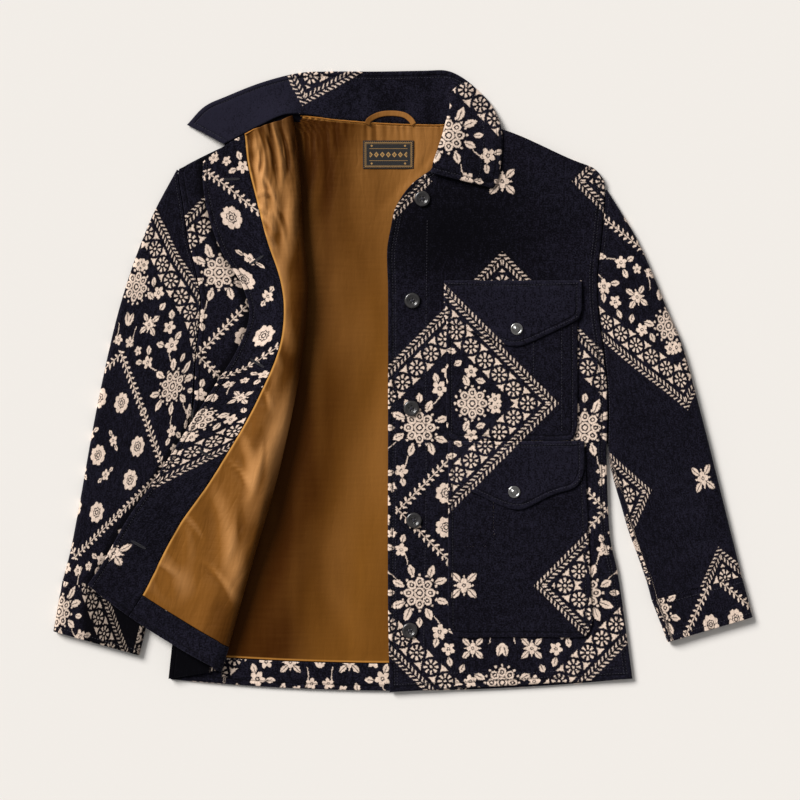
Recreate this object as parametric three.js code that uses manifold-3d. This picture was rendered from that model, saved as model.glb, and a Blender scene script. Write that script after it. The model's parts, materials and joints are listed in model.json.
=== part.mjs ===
// Wool jacket laid flat on its back, its right front folded open over its own sleeve.
// Millimetres. +Z is up from the surface it lies on, +Y runs to the collar, +X to the wearer's left.
import * as THREE from 'three';
import { mergeVertices } from 'three/addons/utils/BufferGeometryUtils.js';
import Module from 'manifold-3d';

const wasm = await Module();
wasm.setup();

// Cloth thicknesses and the clearance between pieces
const backWool = 2.4;
const frontWool = 2.4;
const foldedWool = 2.2;
const facingWool = 1.5;
const hemWool = 1.2;
const lining = 1.0;
const foldedLining = 0.9;
const sleeveWall = 3.0;
const cuffWall = 3.2;
const collarWall = 3.0;
const pocketWool = 2.0;
const flapWool = 2.2;
const loopBand = 1.2;
const labelCloth = 0.8;
const gap = 0.35;
const seamGap = 0.5;
const armholeGap = 1.2;
const underarmGap = 2.2;

// Heights of the middle of each layer above the surface
const backHeight = backWool / 2;
const backLiningHeight = backWool + gap + lining / 2;
const leftFrontHeight = 5.6;
const underHeight = 5.5;
const underHeightAtFold = 6.9;

// Buttons and snaps
const buttonDiameter = 19;
const buttonThickness = 3.4;
const buttonHoleRadius = 0.9;
const buttonHoleSpacing = 3.6;
const snapDiameter = 15;
const snapHeight = 3.1;

// Names the columns of a short table
function table(columns, rows) {
  return rows.map((row) => Object.fromEntries(columns.map((name, i) => [name, row[i]])));
}

// The body's outline: x of each side, from the neck along the shoulder, armhole and side seam
const leftSide = table(['y', 'x'], [
  [314, -134], [280, -214], [262, -251], [254, -264], [246, -266], [208, -260], [170, -255],
  [146, -249], [115, -242], [90, -239], [26, -245], [-50, -249], [-168, -260], [-252, -267], [-359, -278],
]);
const rightSide = table(['y', 'x'], [
  [308, 69], [300, 122], [262, 211], [254, 231], [240, 243], [228, 245], [174, 241], [128, 236],
  [82, 237], [36, 243], [-22, 248], [-94, 247], [-187, 251], [-230, 260], [-276, 267], [-358, 278],
]);

// The left front's neck and centre edge
const centreFront = table(['y', 'x'], [
  [305, 79], [286, 65], [264, 47], [254, 39], [238, 17], [222, 3], [204, -7], [186, -11],
  [156, -16], [108, -15], [-96, -15], [-264, -15], [-374, -13],
]);

// Rows of the back, from the neck to the hem: y at each side, and how far the row's middle drops
const backRows = table(['left', 'right', 'drop'], [
  [317, 306, 3.5], [296, 300, 4], [274, 272, 2], [252, 252, 0], [215, 215, 0], [160, 160, 0],
  [100, 100, 0], [40, 40, 0], [-30, -40, 0], [-90, -100, 0], [-160, -170, 1], [-240, -240, 4],
  [-310, -310, 9], [-359, -358, 14],
]);

// Rows of the left front, from the shoulder to the hem: y at the centre edge and at the side, and
// how far the row bows up along the shoulder
const leftFrontRows = table(['centre', 'side', 'bow'], [
  [305, 258, 9.5], [288, 236, 7], [262, 210, 4], [240, 182, 2], [218, 154, 0], [190, 126, 0],
  [156, 96, 0], [116, 62, 0], [70, 26, 0], [16, -20, 0], [-44, -70, 0], [-110, -128, 0],
  [-180, -190, 0], [-250, -252, 0], [-315, -310, 0], [-374, -358, 0],
]);

// The right front, row by row from the neck to the hem. side: y where it meets the side;
// fold: the outer line of the fold; edge: the free centre edge; top: height of the rolled fold;
// landing and tip: heights of the folded part beside the roll and at the free edge;
// facing: width of the wool facing; bow: how far the row's middle lies towards the collar.
const foldRows = table(
  ['side', 'foldX', 'foldY', 'edgeX', 'edgeY', 'top', 'landing', 'tip', 'facing', 'bow'], [
    [253, -129, 316, -236, 261, 15, 10.2, 10.0, 60, 6],
    [226, -122, 276, -236, 232, 17, 10.2, 10.0, 60, 3],
    [190, -119, 228, -229, 194, 20, 10.2, 10.0, 62, 0],
    [146, -116, 174, -214, 154, 22, 10.4, 10.2, 58, 0],
    [108, -111, 122, -189, 112, 23, 10.8, 11.2, 48, 0],
    [74, -112, 78, -181, 75, 24, 11.0, 12.0, 44, 0],
    [36, -117, 34, -197, 33, 24, 10.8, 11.4, 53, 0],
    [-10, -124, -12, -225, -11, 24, 10.8, 11.0, 62, 0],
    [-54, -135, -66, -253, -55, 24, 11.4, 12.4, 64, 0],
    [-120, -151, -132, -293, -118, 24, 11.8, 13.0, 64, 0],
    [-186, -169, -192, -325, -164, 23, 12.0, 13.0, 61, 0],
    [-252, -187, -254, -345, -199, 21, 12.0, 13.0, 60, 0],
    [-318, -205, -318, -358, -222, 19, 11.6, 13.0, 61, -3],
    [-358, -214, -348, -374, -245, 17, 11.2, 13.0, 62, -5],
  ]);
const turnUpRow = 12;
const rollWidth = 13;
const landingLength = 62;
const liningTuck = 55;

// Sleeves: their outer and inner edges at each section from the armhole to the cuff seam,
// how much of the armhole's curve a section keeps, and the height of its upper layer
const sleeveColumns = ['outerX', 'outerY', 'innerX', 'innerY', 'armhole', 'height'];
const rightSleeveRows = table(sleeveColumns, [
  [246, 229, 247, -91, 1, 4.9], [277, 179, 249, -98, 0.8, 6.2], [295, 142, 251, -106, 0.6, 7.2],
  [320, 82, 254, -115, 0.35, 7.6], [339, 36, 257, -126, 0.15, 7.8], [363, -52, 265, -152, 0, 7.8],
  [377, -107, 273, -180, 0, 7.6], [391, -163, 284, -210, 0, 7.4], [403, -211, 295, -242, 0, 7.2],
  [409, -235, 301, -264, 0, 6.8],
]);
const leftSleeveRows = table(sleeveColumns, [
  [-266, 253, -249, -49, 1, 4.9], [-290, 209, -253, -62, 0.8, 6.2], [-304, 178, -254, -72, 0.6, 7.0],
  [-322, 131, -256, -84, 0.35, 7.4], [-340, 72, -260, -98, 0.15, 7.6], [-357, -1, -263, -118, 0, 7.6],
  [-370, -66, -271, -146, 0, 7.6], [-383, -139, -280, -182, 0, 7.6], [-395, -202, -291, -230, 0, 7.2],
  [-405, -240, -299, -269, 0, 6.8],
]);
const rightCuffRows = table(sleeveColumns, [
  [409.1, -235.5, 301.1, -264.5, 0, 7.4], [416, -261, 311, -290, 0, 7.4],
  [422, -284, 320, -314, 0, 7.2],
]);
const leftCuffRows = table(sleeveColumns, [
  [-405.1, -240.5, -299.1, -269.5, 0, 7.4], [-411, -272, -306, -301, 0, 7.4],
  [-416, -301, -313, -330, 0, 7.2],
]);
const sleeveEdgeRound = 6;
const foldMargin = 0.15;

// Collar sections from the open wing's point, round the back neck, to the folded wing's point:
// the neck seam, the roll line and the outer edge, and the heights of each
const collarRows = table(
  ['neckX', 'neckY', 'neckZ', 'rollX', 'rollY', 'rollZ', 'outerX', 'outerY', 'outerZ'], [
    [-211, 282, 10.4, -233, 294, 6.5, -256, 306, 2.4],
    [-187, 294.5, 10.6, -211, 312, 6.0, -235, 328, 1.9],
    [-166, 305, 11.4, -187, 325, 5.5, -207, 341, 1.6],
    [-139, 317, 13.0, -152, 337, 6.0, -166, 357, 1.6],
    [-112, 317.8, 4.6, -118, 342, 3.0, -123, 368, 1.6],
    [-81, 313.5, 3.6, -82, 340, 2.4, -85, 370, 1.6],
    [-25, 309, 3.6, -25, 336, 2.4, -25, 370, 1.6],
    [31, 307, 3.6, 31, 337, 2.4, 28, 371, 1.6],
    [55, 307.5, 3.8, 52, 338, 4.0, 55, 371, 2.0],
    [64, 311, 5.0, 59, 343, 10.0, 75, 362, 2.6],
    [71, 308, 7.6, 61, 329, 15.0, 94, 346, 3.0],
    [80, 294, 9.0, 56, 310, 18.0, 110, 328, 4.0],
    [80, 280, 9.0, 51, 290, 19.0, 121, 300, 8.8],
    [75, 266, 9.0, 45, 270, 19.0, 121, 269, 9.2],
    [67, 256, 9.0, 41, 256, 18.0, 117, 240, 9.2],
    [57, 247, 9.0, 40, 247, 17.0, 111, 229, 9.2],
  ]);

// Patch pockets and flaps: the upper edge and, below it, the lower outline
const patchColumns = ['topX', 'topY', 'lowX', 'lowY'];
const chestPocketRows = table(patchColumns, [
  [55, 103, 55, -54], [58, 103, 58, -65], [68, 103, 68, -71], [112, 103, 112, -71],
  [157, 103, 157, -71], [201, 103, 201, -71], [209, 103, 209, -65], [212, 103, 212, -54],
]);
const chestFlapRows = table(patchColumns, [
  [52, 119, 52, 73], [64, 119, 64, 66], [107, 119, 107, 49], [123, 119, 123, 43],
  [137, 119, 137, 40], [153, 119, 153, 44], [177, 119, 177, 55], [202, 119, 202, 67],
  [213, 119, 213, 74], [217, 119, 217, 86],
]);
const lowerPocketRows = table(patchColumns, [
  [57, -90, 57, -290], [60, -90, 61, -301], [70, -90, 71, -308], [118, -90, 119, -308],
  [164, -90, 167, -308], [207, -90, 215, -308], [217, -90, 226, -301], [221, -90, 230, -288],
]);
const lowerFlapRows = table(patchColumns, [
  [57, -75, 57, -122], [95, -75, 95, -138], [109, -75, 109, -145], [123, -75, 123, -151],
  [137, -75, 137, -155], [151, -75, 151, -153], [181, -75, 181, -138], [206, -75, 206, -130],
  [215, -75, 215, -121], [220, -75, 220, -106],
]);
const flapSlope = 12;

const buttonPlaces = table(['x', 'y'], [[26, 217], [14, 95], [13, -34], [16, -168], [11, -300]]);
const snapPlaces = table(['x', 'y'], [[139, 61], [136, -134]]);

// Hanger loop: its centre line at the neck
const loopLine = table(['x', 'y'], [
  [-40, 306], [-37, 312], [-25, 318], [-10, 319.5], [4, 317.5], [12, 312], [16, 306],
]);
const loopWidth = 6.5;
const loopHeight = 6.1;
const loopSlope = 0.04;
const labelBox = { left: -45, right: 16, top: 287, bottom: 253 };
const turnUpDepth = 31;

// Soft folds raised in the cloth: centre, length, width, direction in degrees and rise
const softFolds = table(['x', 'y', 'length', 'width', 'turn', 'rise'], [
  [345, -30, 170, 34, 68, 1.6], [372, -150, 150, 30, 72, 1.5], [330, -190, 120, 30, 50, 1.2],
  [300, 60, 190, 36, 80, 1.4], [-330, 40, 180, 34, 104, 1.4], [-375, -120, 160, 30, 100, 1.2],
  [-345, -250, 90, 28, 80, 1.0], [20, 150, 110, 40, 60, 1.0], [150, 190, 170, 60, 8, 1.0],
  [235, -150, 140, 40, 84, 0.9],
]);

const wool = { color: 0x15131c, roughness: 0.95, metalness: 0 };
const satin = { color: 0x764a26, roughness: 0.45, metalness: 0 };
const labelWeave = { color: 0x32302f, roughness: 0.8, metalness: 0 };
const buttonResin = { color: 0x1b1a1a, roughness: 0.25, metalness: 0 };
const snapNickel = { color: 0xb9b7b2, roughness: 0.25, metalness: 1 };

// Smooth value of a column where the key column, or the row number, has the given value
function valueAt(rows, name, at, key = null) {
  const keys = rows.map((row, i) => (key ? row[key] : i));
  const way = Math.sign(keys[keys.length - 1] - keys[0]);
  let i = 0;
  while (i < rows.length - 2 && (at - keys[i + 1]) * way > 0) i += 1;
  const slope = (k) => {
    const before = Math.max(k - 1, 0);
    const after = Math.min(k + 1, rows.length - 1);
    return (rows[after][name] - rows[before][name]) / (keys[after] - keys[before]);
  };
  const step = keys[i + 1] - keys[i];
  const t = THREE.MathUtils.clamp((at - keys[i]) / step, 0, 1);
  const a = rows[i][name];
  const b = rows[i + 1][name];
  const rise = t * t * (3 - 2 * t);
  return a + (b - a) * rise
    + step * (slope(i) * t * (1 - t) ** 2 - slope(i + 1) * t * t * (1 - t));
}

function smooth(t) {
  const s = THREE.MathUtils.clamp(t, 0, 1);
  return s * s * (3 - 2 * s);
}

function steps(from, to, count) {
  return Array.from({ length: count + 1 }, (_, i) => from + ((to - from) * i) / count);
}

// Height that the soft folds add at a place
function foldRise(x, y) {
  let rise = 0;
  for (const fold of softFolds) {
    const turn = THREE.MathUtils.degToRad(fold.turn);
    const dx = x - fold.x;
    const dy = y - fold.y;
    const along = (dx * Math.cos(turn) + dy * Math.sin(turn)) / (fold.length / 2);
    const across = (dy * Math.cos(turn) - dx * Math.sin(turn)) / (fold.width / 2);
    if (Math.abs(along) < 1 && Math.abs(across) < 1) {
      rise += fold.rise * Math.cos((along * Math.PI) / 2) ** 2 * Math.cos((across * Math.PI) / 2) ** 2;
    }
  }
  return rise;
}

// A closed cloth wall between two offsets from a surface. point(row, column) gives the surface,
// and a column may be worked out from its row; a ring closes on itself across its columns.
function shell(point, rows, columns, from, to, ring = false) {
  const h = 0.01;
  const positions = [];
  const place = (row, column, offset) => {
    const middle = point(row, column);
    const back = point(row - h, column);
    const ahead = point(row + h, column);
    const left = point(row, column - h);
    const right = point(row, column + h);
    const normal = right.sub(left).cross(ahead.sub(back)).normalize();
    positions.push(...middle.addScaledVector(normal, offset).toArray());
  };
  for (const offset of [from, to]) {
    for (const row of rows) {
      for (const column of columns) {
        place(row, typeof column === 'function' ? column(row) : column, offset);
      }
    }
  }
  const wide = columns.length;
  const high = rows.length;
  const side = wide * high;
  const index = [];
  const quad = (a, b, c, d) => index.push(a, b, c, a, c, d);
  const spans = ring ? wide : wide - 1;
  for (let i = 0; i < high - 1; i += 1) {
    for (let j = 0; j < spans; j += 1) {
      const k = (j + 1) % wide;
      const a = i * wide + j;
      const b = i * wide + k;
      const c = (i + 1) * wide + k;
      const d = (i + 1) * wide + j;
      quad(a, d, c, b);
      quad(side + a, side + b, side + c, side + d);
    }
  }
  for (let j = 0; j < spans; j += 1) {
    const k = (j + 1) % wide;
    const last = (high - 1) * wide;
    quad(j, k, side + k, side + j);
    quad(last + k, last + j, side + last + j, side + last + k);
  }
  if (!ring) {
    for (let i = 0; i < high - 1; i += 1) {
      const a = i * wide;
      const b = (i + 1) * wide;
      quad(b, a, side + a, side + b);
      const c = a + wide - 1;
      const d = b + wide - 1;
      quad(c, d, side + d, side + c);
    }
  }
  const geometry = new THREE.BufferGeometry();
  geometry.setAttribute('position', new THREE.Float32BufferAttribute(positions, 3));
  geometry.setIndex(index);
  geometry.computeVertexNormals();
  return geometry;
}

const jacket = new THREE.Group();

function add(name, geometry, look) {
  const mesh = new THREE.Mesh(geometry, new THREE.MeshStandardMaterial(look));
  mesh.name = name;
  jacket.add(mesh);
  return mesh;
}

// Back panel, its lining and its turned-up hem

// Rows run from the hem to the neck, so that the wall's outer side faces up
function backPoint(height, inset) {
  const lastRow = backRows.length - 1;
  return (row, column) => {
    const at = lastRow - row;
    const leftY = valueAt(backRows, 'left', at);
    const rightY = valueAt(backRows, 'right', at);
    const left = valueAt(leftSide, 'x', leftY, 'y') + inset;
    const right = valueAt(rightSide, 'x', rightY, 'y') - inset;
    const x = left + (right - left) * column;
    const y = leftY + (rightY - leftY) * column
      - valueAt(backRows, 'drop', at) * (1 - (2 * column - 1) ** 2);
    return new THREE.Vector3(x, y, height);
  };
}

const lastBackRow = backRows.length - 1;
const lastRowDepth = backRows[lastBackRow - 1].left - backRows[lastBackRow].left;
const hemRow = turnUpDepth / lastRowDepth;
const backColumns = steps(0, 1, 6);
add('back', shell(backPoint(backHeight, 2), steps(0, lastBackRow, 15), backColumns,
  -backWool / 2, backWool / 2), wool);
add('back_lining', shell(backPoint(backLiningHeight, 12), steps(hemRow + 0.02, lastBackRow, 14),
  backColumns, -lining / 2, lining / 2), satin);
add('back_hem', shell(backPoint(backWool + gap + hemWool / 2, 12), [0, hemRow], steps(0, 1, 8),
  -hemWool / 2, hemWool / 2), wool);

// Left front with its pockets, flaps, buttons and snaps

const seamRoll = 1.2;
const seamRollWidth = 9;

function leftFrontMiddle(x, y) {
  const fromSide = valueAt(rightSide, 'x', y, 'y') - x;
  const lowered = y < 240 ? seamRoll * (1 - smooth(fromSide / seamRollWidth)) : 0;
  return leftFrontHeight + foldRise(x, y) - lowered;
}

function leftFrontPoint(row, column) {
  const lastRow = leftFrontRows.length - 1;
  const at = lastRow - row;
  const centreY = valueAt(leftFrontRows, 'centre', at);
  const sideY = valueAt(leftFrontRows, 'side', at);
  const centreX = valueAt(centreFront, 'x', centreY, 'y');
  const sideX = valueAt(rightSide, 'x', sideY, 'y');
  const x = centreX + (sideX - centreX) * column;
  const y = centreY + (sideY - centreY) * column
    + valueAt(leftFrontRows, 'bow', at) * 6.75 * column * (1 - column) ** 2;
  return new THREE.Vector3(x, y, leftFrontMiddle(x, y));
}

add('left_front', shell(leftFrontPoint, steps(0, leftFrontRows.length - 1, 24),
  [...steps(0, 0.94, 9), 0.97, 1], -frontWool / 2, frontWool / 2), wool);

const frontTop = frontWool / 2;

// A patch sewn on the left front, `lift` above its face
function patchPoint(rows, lift) {
  return (row, column) => {
    const topX = valueAt(rows, 'topX', column);
    const topY = valueAt(rows, 'topY', column);
    const lowX = valueAt(rows, 'lowX', column);
    const lowY = valueAt(rows, 'lowY', column);
    const x = lowX + (topX - lowX) * row;
    const y = lowY + (topY - lowY) * row;
    return new THREE.Vector3(x, y, leftFrontMiddle(x, y) + frontTop + lift(topY - y));
  };
}

const pocketLift = gap + 0.1 + pocketWool / 2;
const flapLift = (down) => gap + 0.1 + flapWool / 2 + (pocketWool + gap) * smooth(down / flapSlope);
const flapFace = gap + 0.1 + flapWool + pocketWool + gap;
const pocketColumns = [0, 1, 2, 3, 4, 5, 6, 7];
const flapColumns = steps(0, 9, 15);
add('chest_pocket', shell(patchPoint(chestPocketRows, () => pocketLift), steps(0, 1, 8),
  pocketColumns, -pocketWool / 2, pocketWool / 2), wool);
add('chest_flap', shell(patchPoint(chestFlapRows, flapLift), [0, 0.35, 0.6, 0.75, 0.88, 1],
  flapColumns, -flapWool / 2, flapWool / 2), wool);
add('lower_pocket', shell(patchPoint(lowerPocketRows, () => pocketLift), steps(0, 1, 9),
  pocketColumns, -pocketWool / 2, pocketWool / 2), wool);
add('lower_flap', shell(patchPoint(lowerFlapRows, flapLift), [0, 0.35, 0.6, 0.75, 0.88, 1],
  flapColumns, -flapWool / 2, flapWool / 2), wool);

// A turned solid standing on z = 0
function turned(profile, segments) {
  const points = profile.map(([radius, height]) => new THREE.Vector2(radius, height));
  const geometry = new THREE.LatheGeometry(points, segments).rotateX(Math.PI / 2);
  geometry.deleteAttribute('normal');
  geometry.deleteAttribute('uv');
  return mergeVertices(geometry, 0.0001);
}

function solid(geometry) {
  return new wasm.Manifold(new wasm.Mesh({
    numProp: 3,
    vertProperties: new Float32Array(geometry.attributes.position.array),
    triVerts: new Uint32Array(geometry.index.array),
  }));
}

function fromSolid(shape) {
  const mesh = shape.getMesh();
  const geometry = new THREE.BufferGeometry();
  geometry.setAttribute('position', new THREE.BufferAttribute(mesh.vertProperties, 3));
  geometry.setIndex(new THREE.BufferAttribute(mesh.triVerts, 1));
  geometry.computeVertexNormals();
  return geometry;
}

// A dished button with a raised rim and four sewing holes
function buttonGeometry() {
  const r = buttonDiameter / 2;
  const t = buttonThickness;
  const body = turned([
    [0, 0], [r - 1.2, 0], [r, 1], [r, t - 0.8], [r - 0.9, t], [r - 2, t - 0.2],
    [r - 3.4, t - 1.1], [0, t - 1.2],
  ], 20);
  let shape = solid(body);
  for (const [x, y] of [[1, 1], [-1, 1], [-1, -1], [1, -1]]) {
    const hole = new THREE.CylinderGeometry(buttonHoleRadius, buttonHoleRadius, 3 * t, 6);
    hole.rotateX(Math.PI / 2).translate((x * buttonHoleSpacing) / 2, (y * buttonHoleSpacing) / 2, 0);
    hole.deleteAttribute('normal');
    hole.deleteAttribute('uv');
    shape = shape.subtract(solid(mergeVertices(hole, 0.0001)));
  }
  return fromSolid(shape);
}

buttonPlaces.forEach(({ x, y }, i) => {
  const button = add(`button_${i + 1}`, buttonGeometry(), buttonResin);
  button.position.set(x, y, leftFrontMiddle(x, y) + frontTop + gap);
});

snapPlaces.forEach(({ x, y }, i) => {
  const r = snapDiameter / 2;
  const snap = add(`snap_${i + 1}`, turned([
    [0, 0], [r, 0], [r, 0.9], [r - 0.6, 1.2], [r - 1.3, 0.9], [r - 1.9, 1.1], [r - 3.2, 2.2],
    [r - 5.2, snapHeight - 0.2], [0, snapHeight],
  ], 20), snapNickel);
  snap.position.set(x, y, leftFrontMiddle(x, y) + frontTop + flapFace + gap);
});

// Right front: under layer from the side to the fold, the roll, and the part folded open

// Column 0 to 1 is the under layer, 1 to 2 the roll and 2 to 3 the folded part
function rightFrontPoint(row, column) {
  const at = (name) => valueAt(foldRows, name, row);
  const sideY = at('side');
  const side = new THREE.Vector2(valueAt(leftSide, 'x', sideY, 'y'), sideY);
  const cover = foldedWool / 2 + gap + foldedLining;
  const fold = new THREE.Vector2(at('foldX') - cover, at('foldY'));
  const edge = new THREE.Vector2(at('edgeX'), at('edgeY'));
  const underWay = fold.clone().sub(side).normalize();
  const overWay = fold.clone().sub(edge).normalize();
  const top = at('top');
  if (column < 1) {
    const t = Math.max(column, -0.01);
    const end = fold.clone().addScaledVector(underWay, -rollWidth);
    const place = side.clone().lerp(end, t);
    const length = side.distanceTo(end);
    const raised = smooth(1 - ((1 - t) * length - liningTuck) / 40);
    return new THREE.Vector3(place.x, place.y, underHeight + (underHeightAtFold - underHeight) * raised);
  }
  const middleHeight = (underHeightAtFold + top) / 2;
  if (column < 2) {
    const angle = (column - 1.5) * Math.PI;
    const way = underWay.clone().lerp(overWay, column - 1).normalize();
    const place = fold.clone().addScaledVector(way, -rollWidth * (1 - Math.cos(angle)));
    return new THREE.Vector3(place.x, place.y,
      middleHeight + ((top - underHeightAtFold) / 2) * Math.sin(angle));
  }
  const t = Math.min(column - 2, 1.01);
  const start = fold.clone().addScaledVector(overWay, -rollWidth);
  const place = start.clone().lerp(edge, t);
  const across = new THREE.Vector2(overWay.y, -overWay.x);
  if (across.y < 0) across.negate();
  place.addScaledVector(across, at('bow') * 4 * t * (1 - t));
  const length = start.distanceTo(edge);
  const level = at('landing') + (at('tip') - at('landing')) * smooth(t);
  const height = level + (top - level) * (1 - smooth((t * length) / Math.min(landingLength, length)));
  return new THREE.Vector3(place.x, place.y, height);
}

// Column on the folded part that lies a distance in from the free edge
function columnFromEdge(row, distance) {
  const at = (name) => valueAt(foldRows, name, row);
  const length = Math.hypot(at('foldX') - at('edgeX'), at('foldY') - at('edgeY'))
    - rollWidth - foldedWool / 2;
  return 3 - distance / length;
}

// Length of the under layer and of the folded part in a row, roll left out
function underLength(row) {
  const sideY = valueAt(foldRows, 'side', row);
  const sideX = valueAt(leftSide, 'x', sideY, 'y');
  return Math.hypot(valueAt(foldRows, 'foldX', row) - sideX, valueAt(foldRows, 'foldY', row) - sideY)
    - rollWidth;
}

function overLength(row) {
  const at = (name) => valueAt(foldRows, name, row);
  return Math.hypot(at('foldX') - at('edgeX'), at('foldY') - at('edgeY')) - rollWidth;
}

const rollColumns = steps(1, 2, 8);
const coverShares = [0.15, 0.35, 0.55, 0.78, 1];
const lastFoldRow = foldRows.length - 1;
const bodyRows = steps(0, turnUpRow, 16);
const frontRows = [...bodyRows, lastFoldRow];
const onFront = foldedWool / 2 + gap;
const facingEdge = (row) => 3 - valueAt(foldRows, 'facing', row) / overLength(row);
const liningEdge = (row) => facingEdge(row) - seamGap / overLength(row);
const coverStart = (row) => Math.max(1 - (liningTuck - 6) / underLength(row), 0.04);
const coverColumns = [
  coverStart,
  (row) => (1 + coverStart(row)) / 2,
  ...rollColumns,
  ...coverShares.map((share) => (row) => 2 + (liningEdge(row) - 2) * share),
];
const facingColumns = steps(0, 1, 3).map((share) => (
  (row) => facingEdge(row) + (3 - facingEdge(row)) * share));

add('right_front', shell(rightFrontPoint, frontRows,
  [0, (row) => coverStart(row) / 2, ...coverColumns.slice(0, -1), ...facingColumns],
  -foldedWool / 2, foldedWool / 2), wool);
add('right_front_facing', shell(rightFrontPoint, frontRows,
  facingColumns,
  onFront, onFront + facingWool), wool);
add('right_front_lining', shell(rightFrontPoint, bodyRows, coverColumns,
  onFront, onFront + foldedLining), satin);
add('right_front_hem', shell(rightFrontPoint, [turnUpRow + 0.02, lastFoldRow], coverColumns,
  onFront, onFront + hemWool), wool);

// Sleeves and cuffs: flattened tubes, flat where they rest

// Column 0 to 1 is the lower layer from the outer to the inner edge, 2 to 3 the upper layer back;
// between them the wall turns round each edge
function sleevePoint(rows, wall, side) {
  const away = side === rightSide ? 1 : -1;
  return (row, column) => {
    const at = (name) => valueAt(rows, name, row);
    const outer = new THREE.Vector2(at('outerX'), at('outerY'));
    const inner = new THREE.Vector2(at('innerX'), at('innerY'));
    const width = outer.distanceTo(inner);
    const low = wall / 2;
    const high = at('height');
    const margin = (sleeveEdgeRound + wall / 2) / width;
    const place = (share, height) => {
      const flat = outer.clone().lerp(inner, share);
      const first = rows[0];
      const seamY = THREE.MathUtils.lerp(first.outerY, first.innerY, share);
      const seamX = THREE.MathUtils.lerp(first.outerX, first.innerX, share);
      const onSeam = valueAt(side, 'x', seamY, 'y');
      flat.x += at('armhole') * (onSeam - seamX + away * (armholeGap + underarmGap * share ** 6));
      return new THREE.Vector3(flat.x, flat.y, height);
    };
    const turnedColumn = ((column % 4) + 4) % 4;
    if (turnedColumn <= 1) return place(margin + (1 - 2 * margin) * turnedColumn, low);
    const middle = (low + high) / 2;
    const radius = (high - low) / 2;
    const round = sleeveEdgeRound / width;
    if (turnedColumn < 2) {
      const angle = (turnedColumn - 1.5) * Math.PI;
      return place(1 - margin + round * Math.cos(angle), middle + radius * Math.sin(angle));
    }
    if (turnedColumn <= 3) {
      const top = place(1 - margin - (1 - 2 * margin) * (turnedColumn - 2), high);
      const inward = Math.min(turnedColumn - 2, 3 - turnedColumn) / foldMargin;
      top.z += foldRise(top.x, top.y) * smooth(inward) * smooth(row);
      return top;
    }
    const angle = (turnedColumn - 3.5) * Math.PI;
    return place(margin - round * Math.cos(angle), middle - radius * Math.sin(angle));
  };
}

const ringColumns = [
  ...steps(0, 1, 6), 1.25, 1.5, 1.75, ...steps(2, 3, 8), 3.25, 3.5, 3.75,
];

function addTube(name, rows, wall, side, sectionCount) {
  const lastRow = rows.length - 1;
  const columns = side === rightSide ? [...ringColumns].reverse() : ringColumns;
  const step = side === rightSide ? -1 : 1;
  const point = sleevePoint(rows, wall, side);
  add(name, shell((row, column) => point(row, step * column), steps(0, lastRow, sectionCount),
    columns.map((column) => step * column), -wall / 2, wall / 2, true), wool);
}

addTube('left_sleeve', leftSleeveRows, sleeveWall, leftSide, 16);
addTube('left_cuff', leftCuffRows, cuffWall, leftSide, 3);
addTube('right_sleeve', rightSleeveRows, sleeveWall, rightSide, 16);
addTube('right_cuff', rightCuffRows, cuffWall, rightSide, 3);

// Collar, hanger loop and neck label

// Across a section the collar is one curve from the neck seam past the roll line to its outer edge
function collarPoint(row, column) {
  const at = (name) => valueAt(collarRows, name, row);
  const neck = new THREE.Vector3(at('neckX'), at('neckY'), at('neckZ'));
  const outer = new THREE.Vector3(at('outerX'), at('outerY'), at('outerZ'));
  const roll = new THREE.Vector3(at('rollX'), at('rollY'), at('rollZ'));
  const middle = neck.clone().add(outer).divideScalar(2);
  const pull = roll.clone().sub(middle).multiplyScalar(4 / 3).add(middle);
  const low = pull.clone().setZ(Math.min(pull.z, neck.z));
  return new THREE.CubicBezierCurve3(neck, low, pull, outer).getPoint(column);
}

add('collar', shell((row, column) => collarPoint(row, 1 - column), steps(0, collarRows.length - 1, 30),
  steps(0, 1, 10), -collarWall / 2, collarWall / 2), wool);

function loopPoint(row, column) {
  const x = valueAt(loopLine, 'x', row);
  const y = valueAt(loopLine, 'y', row);
  const h = 0.05;
  const way = new THREE.Vector2(valueAt(loopLine, 'x', row + h) - valueAt(loopLine, 'x', row - h),
    valueAt(loopLine, 'y', row + h) - valueAt(loopLine, 'y', row - h)).normalize();
  const across = (column - 0.5) * loopWidth;
  return new THREE.Vector3(x - way.y * across, y + way.x * across,
    loopHeight - loopSlope * (y - loopLine[0].y));
}

add('hanger_loop', shell((row, column) => loopPoint(row, 1 - column),
  steps(0, loopLine.length - 1, 12), [0, 1], -loopBand / 2, loopBand / 2), satin);

const labelWidth = labelBox.right - labelBox.left;
const labelDepth = labelBox.top - labelBox.bottom;
const label = add('neck_label', new THREE.BoxGeometry(labelWidth, labelDepth, labelCloth), labelWeave);
label.position.set(labelBox.left + labelWidth / 2, labelBox.bottom + labelDepth / 2,
  backLiningHeight + lining / 2 + gap + labelCloth / 2);

// The origin is the middle of the underside's box
jacket.updateMatrixWorld(true);
const box = new THREE.Box3().setFromObject(jacket, true);
jacket.position.set(-(box.min.x + box.max.x) / 2, -(box.min.y + box.max.y) / 2, -box.min.z);

export default jacket;
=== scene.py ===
# Wool jacket with a bandana print, laid flat with its right front folded open
import json
import math
import bmesh
import bpy
import numpy as np
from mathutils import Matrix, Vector
from mathutils.bvhtree import BVHTree
from mathutils.kdtree import KDTree

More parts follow.
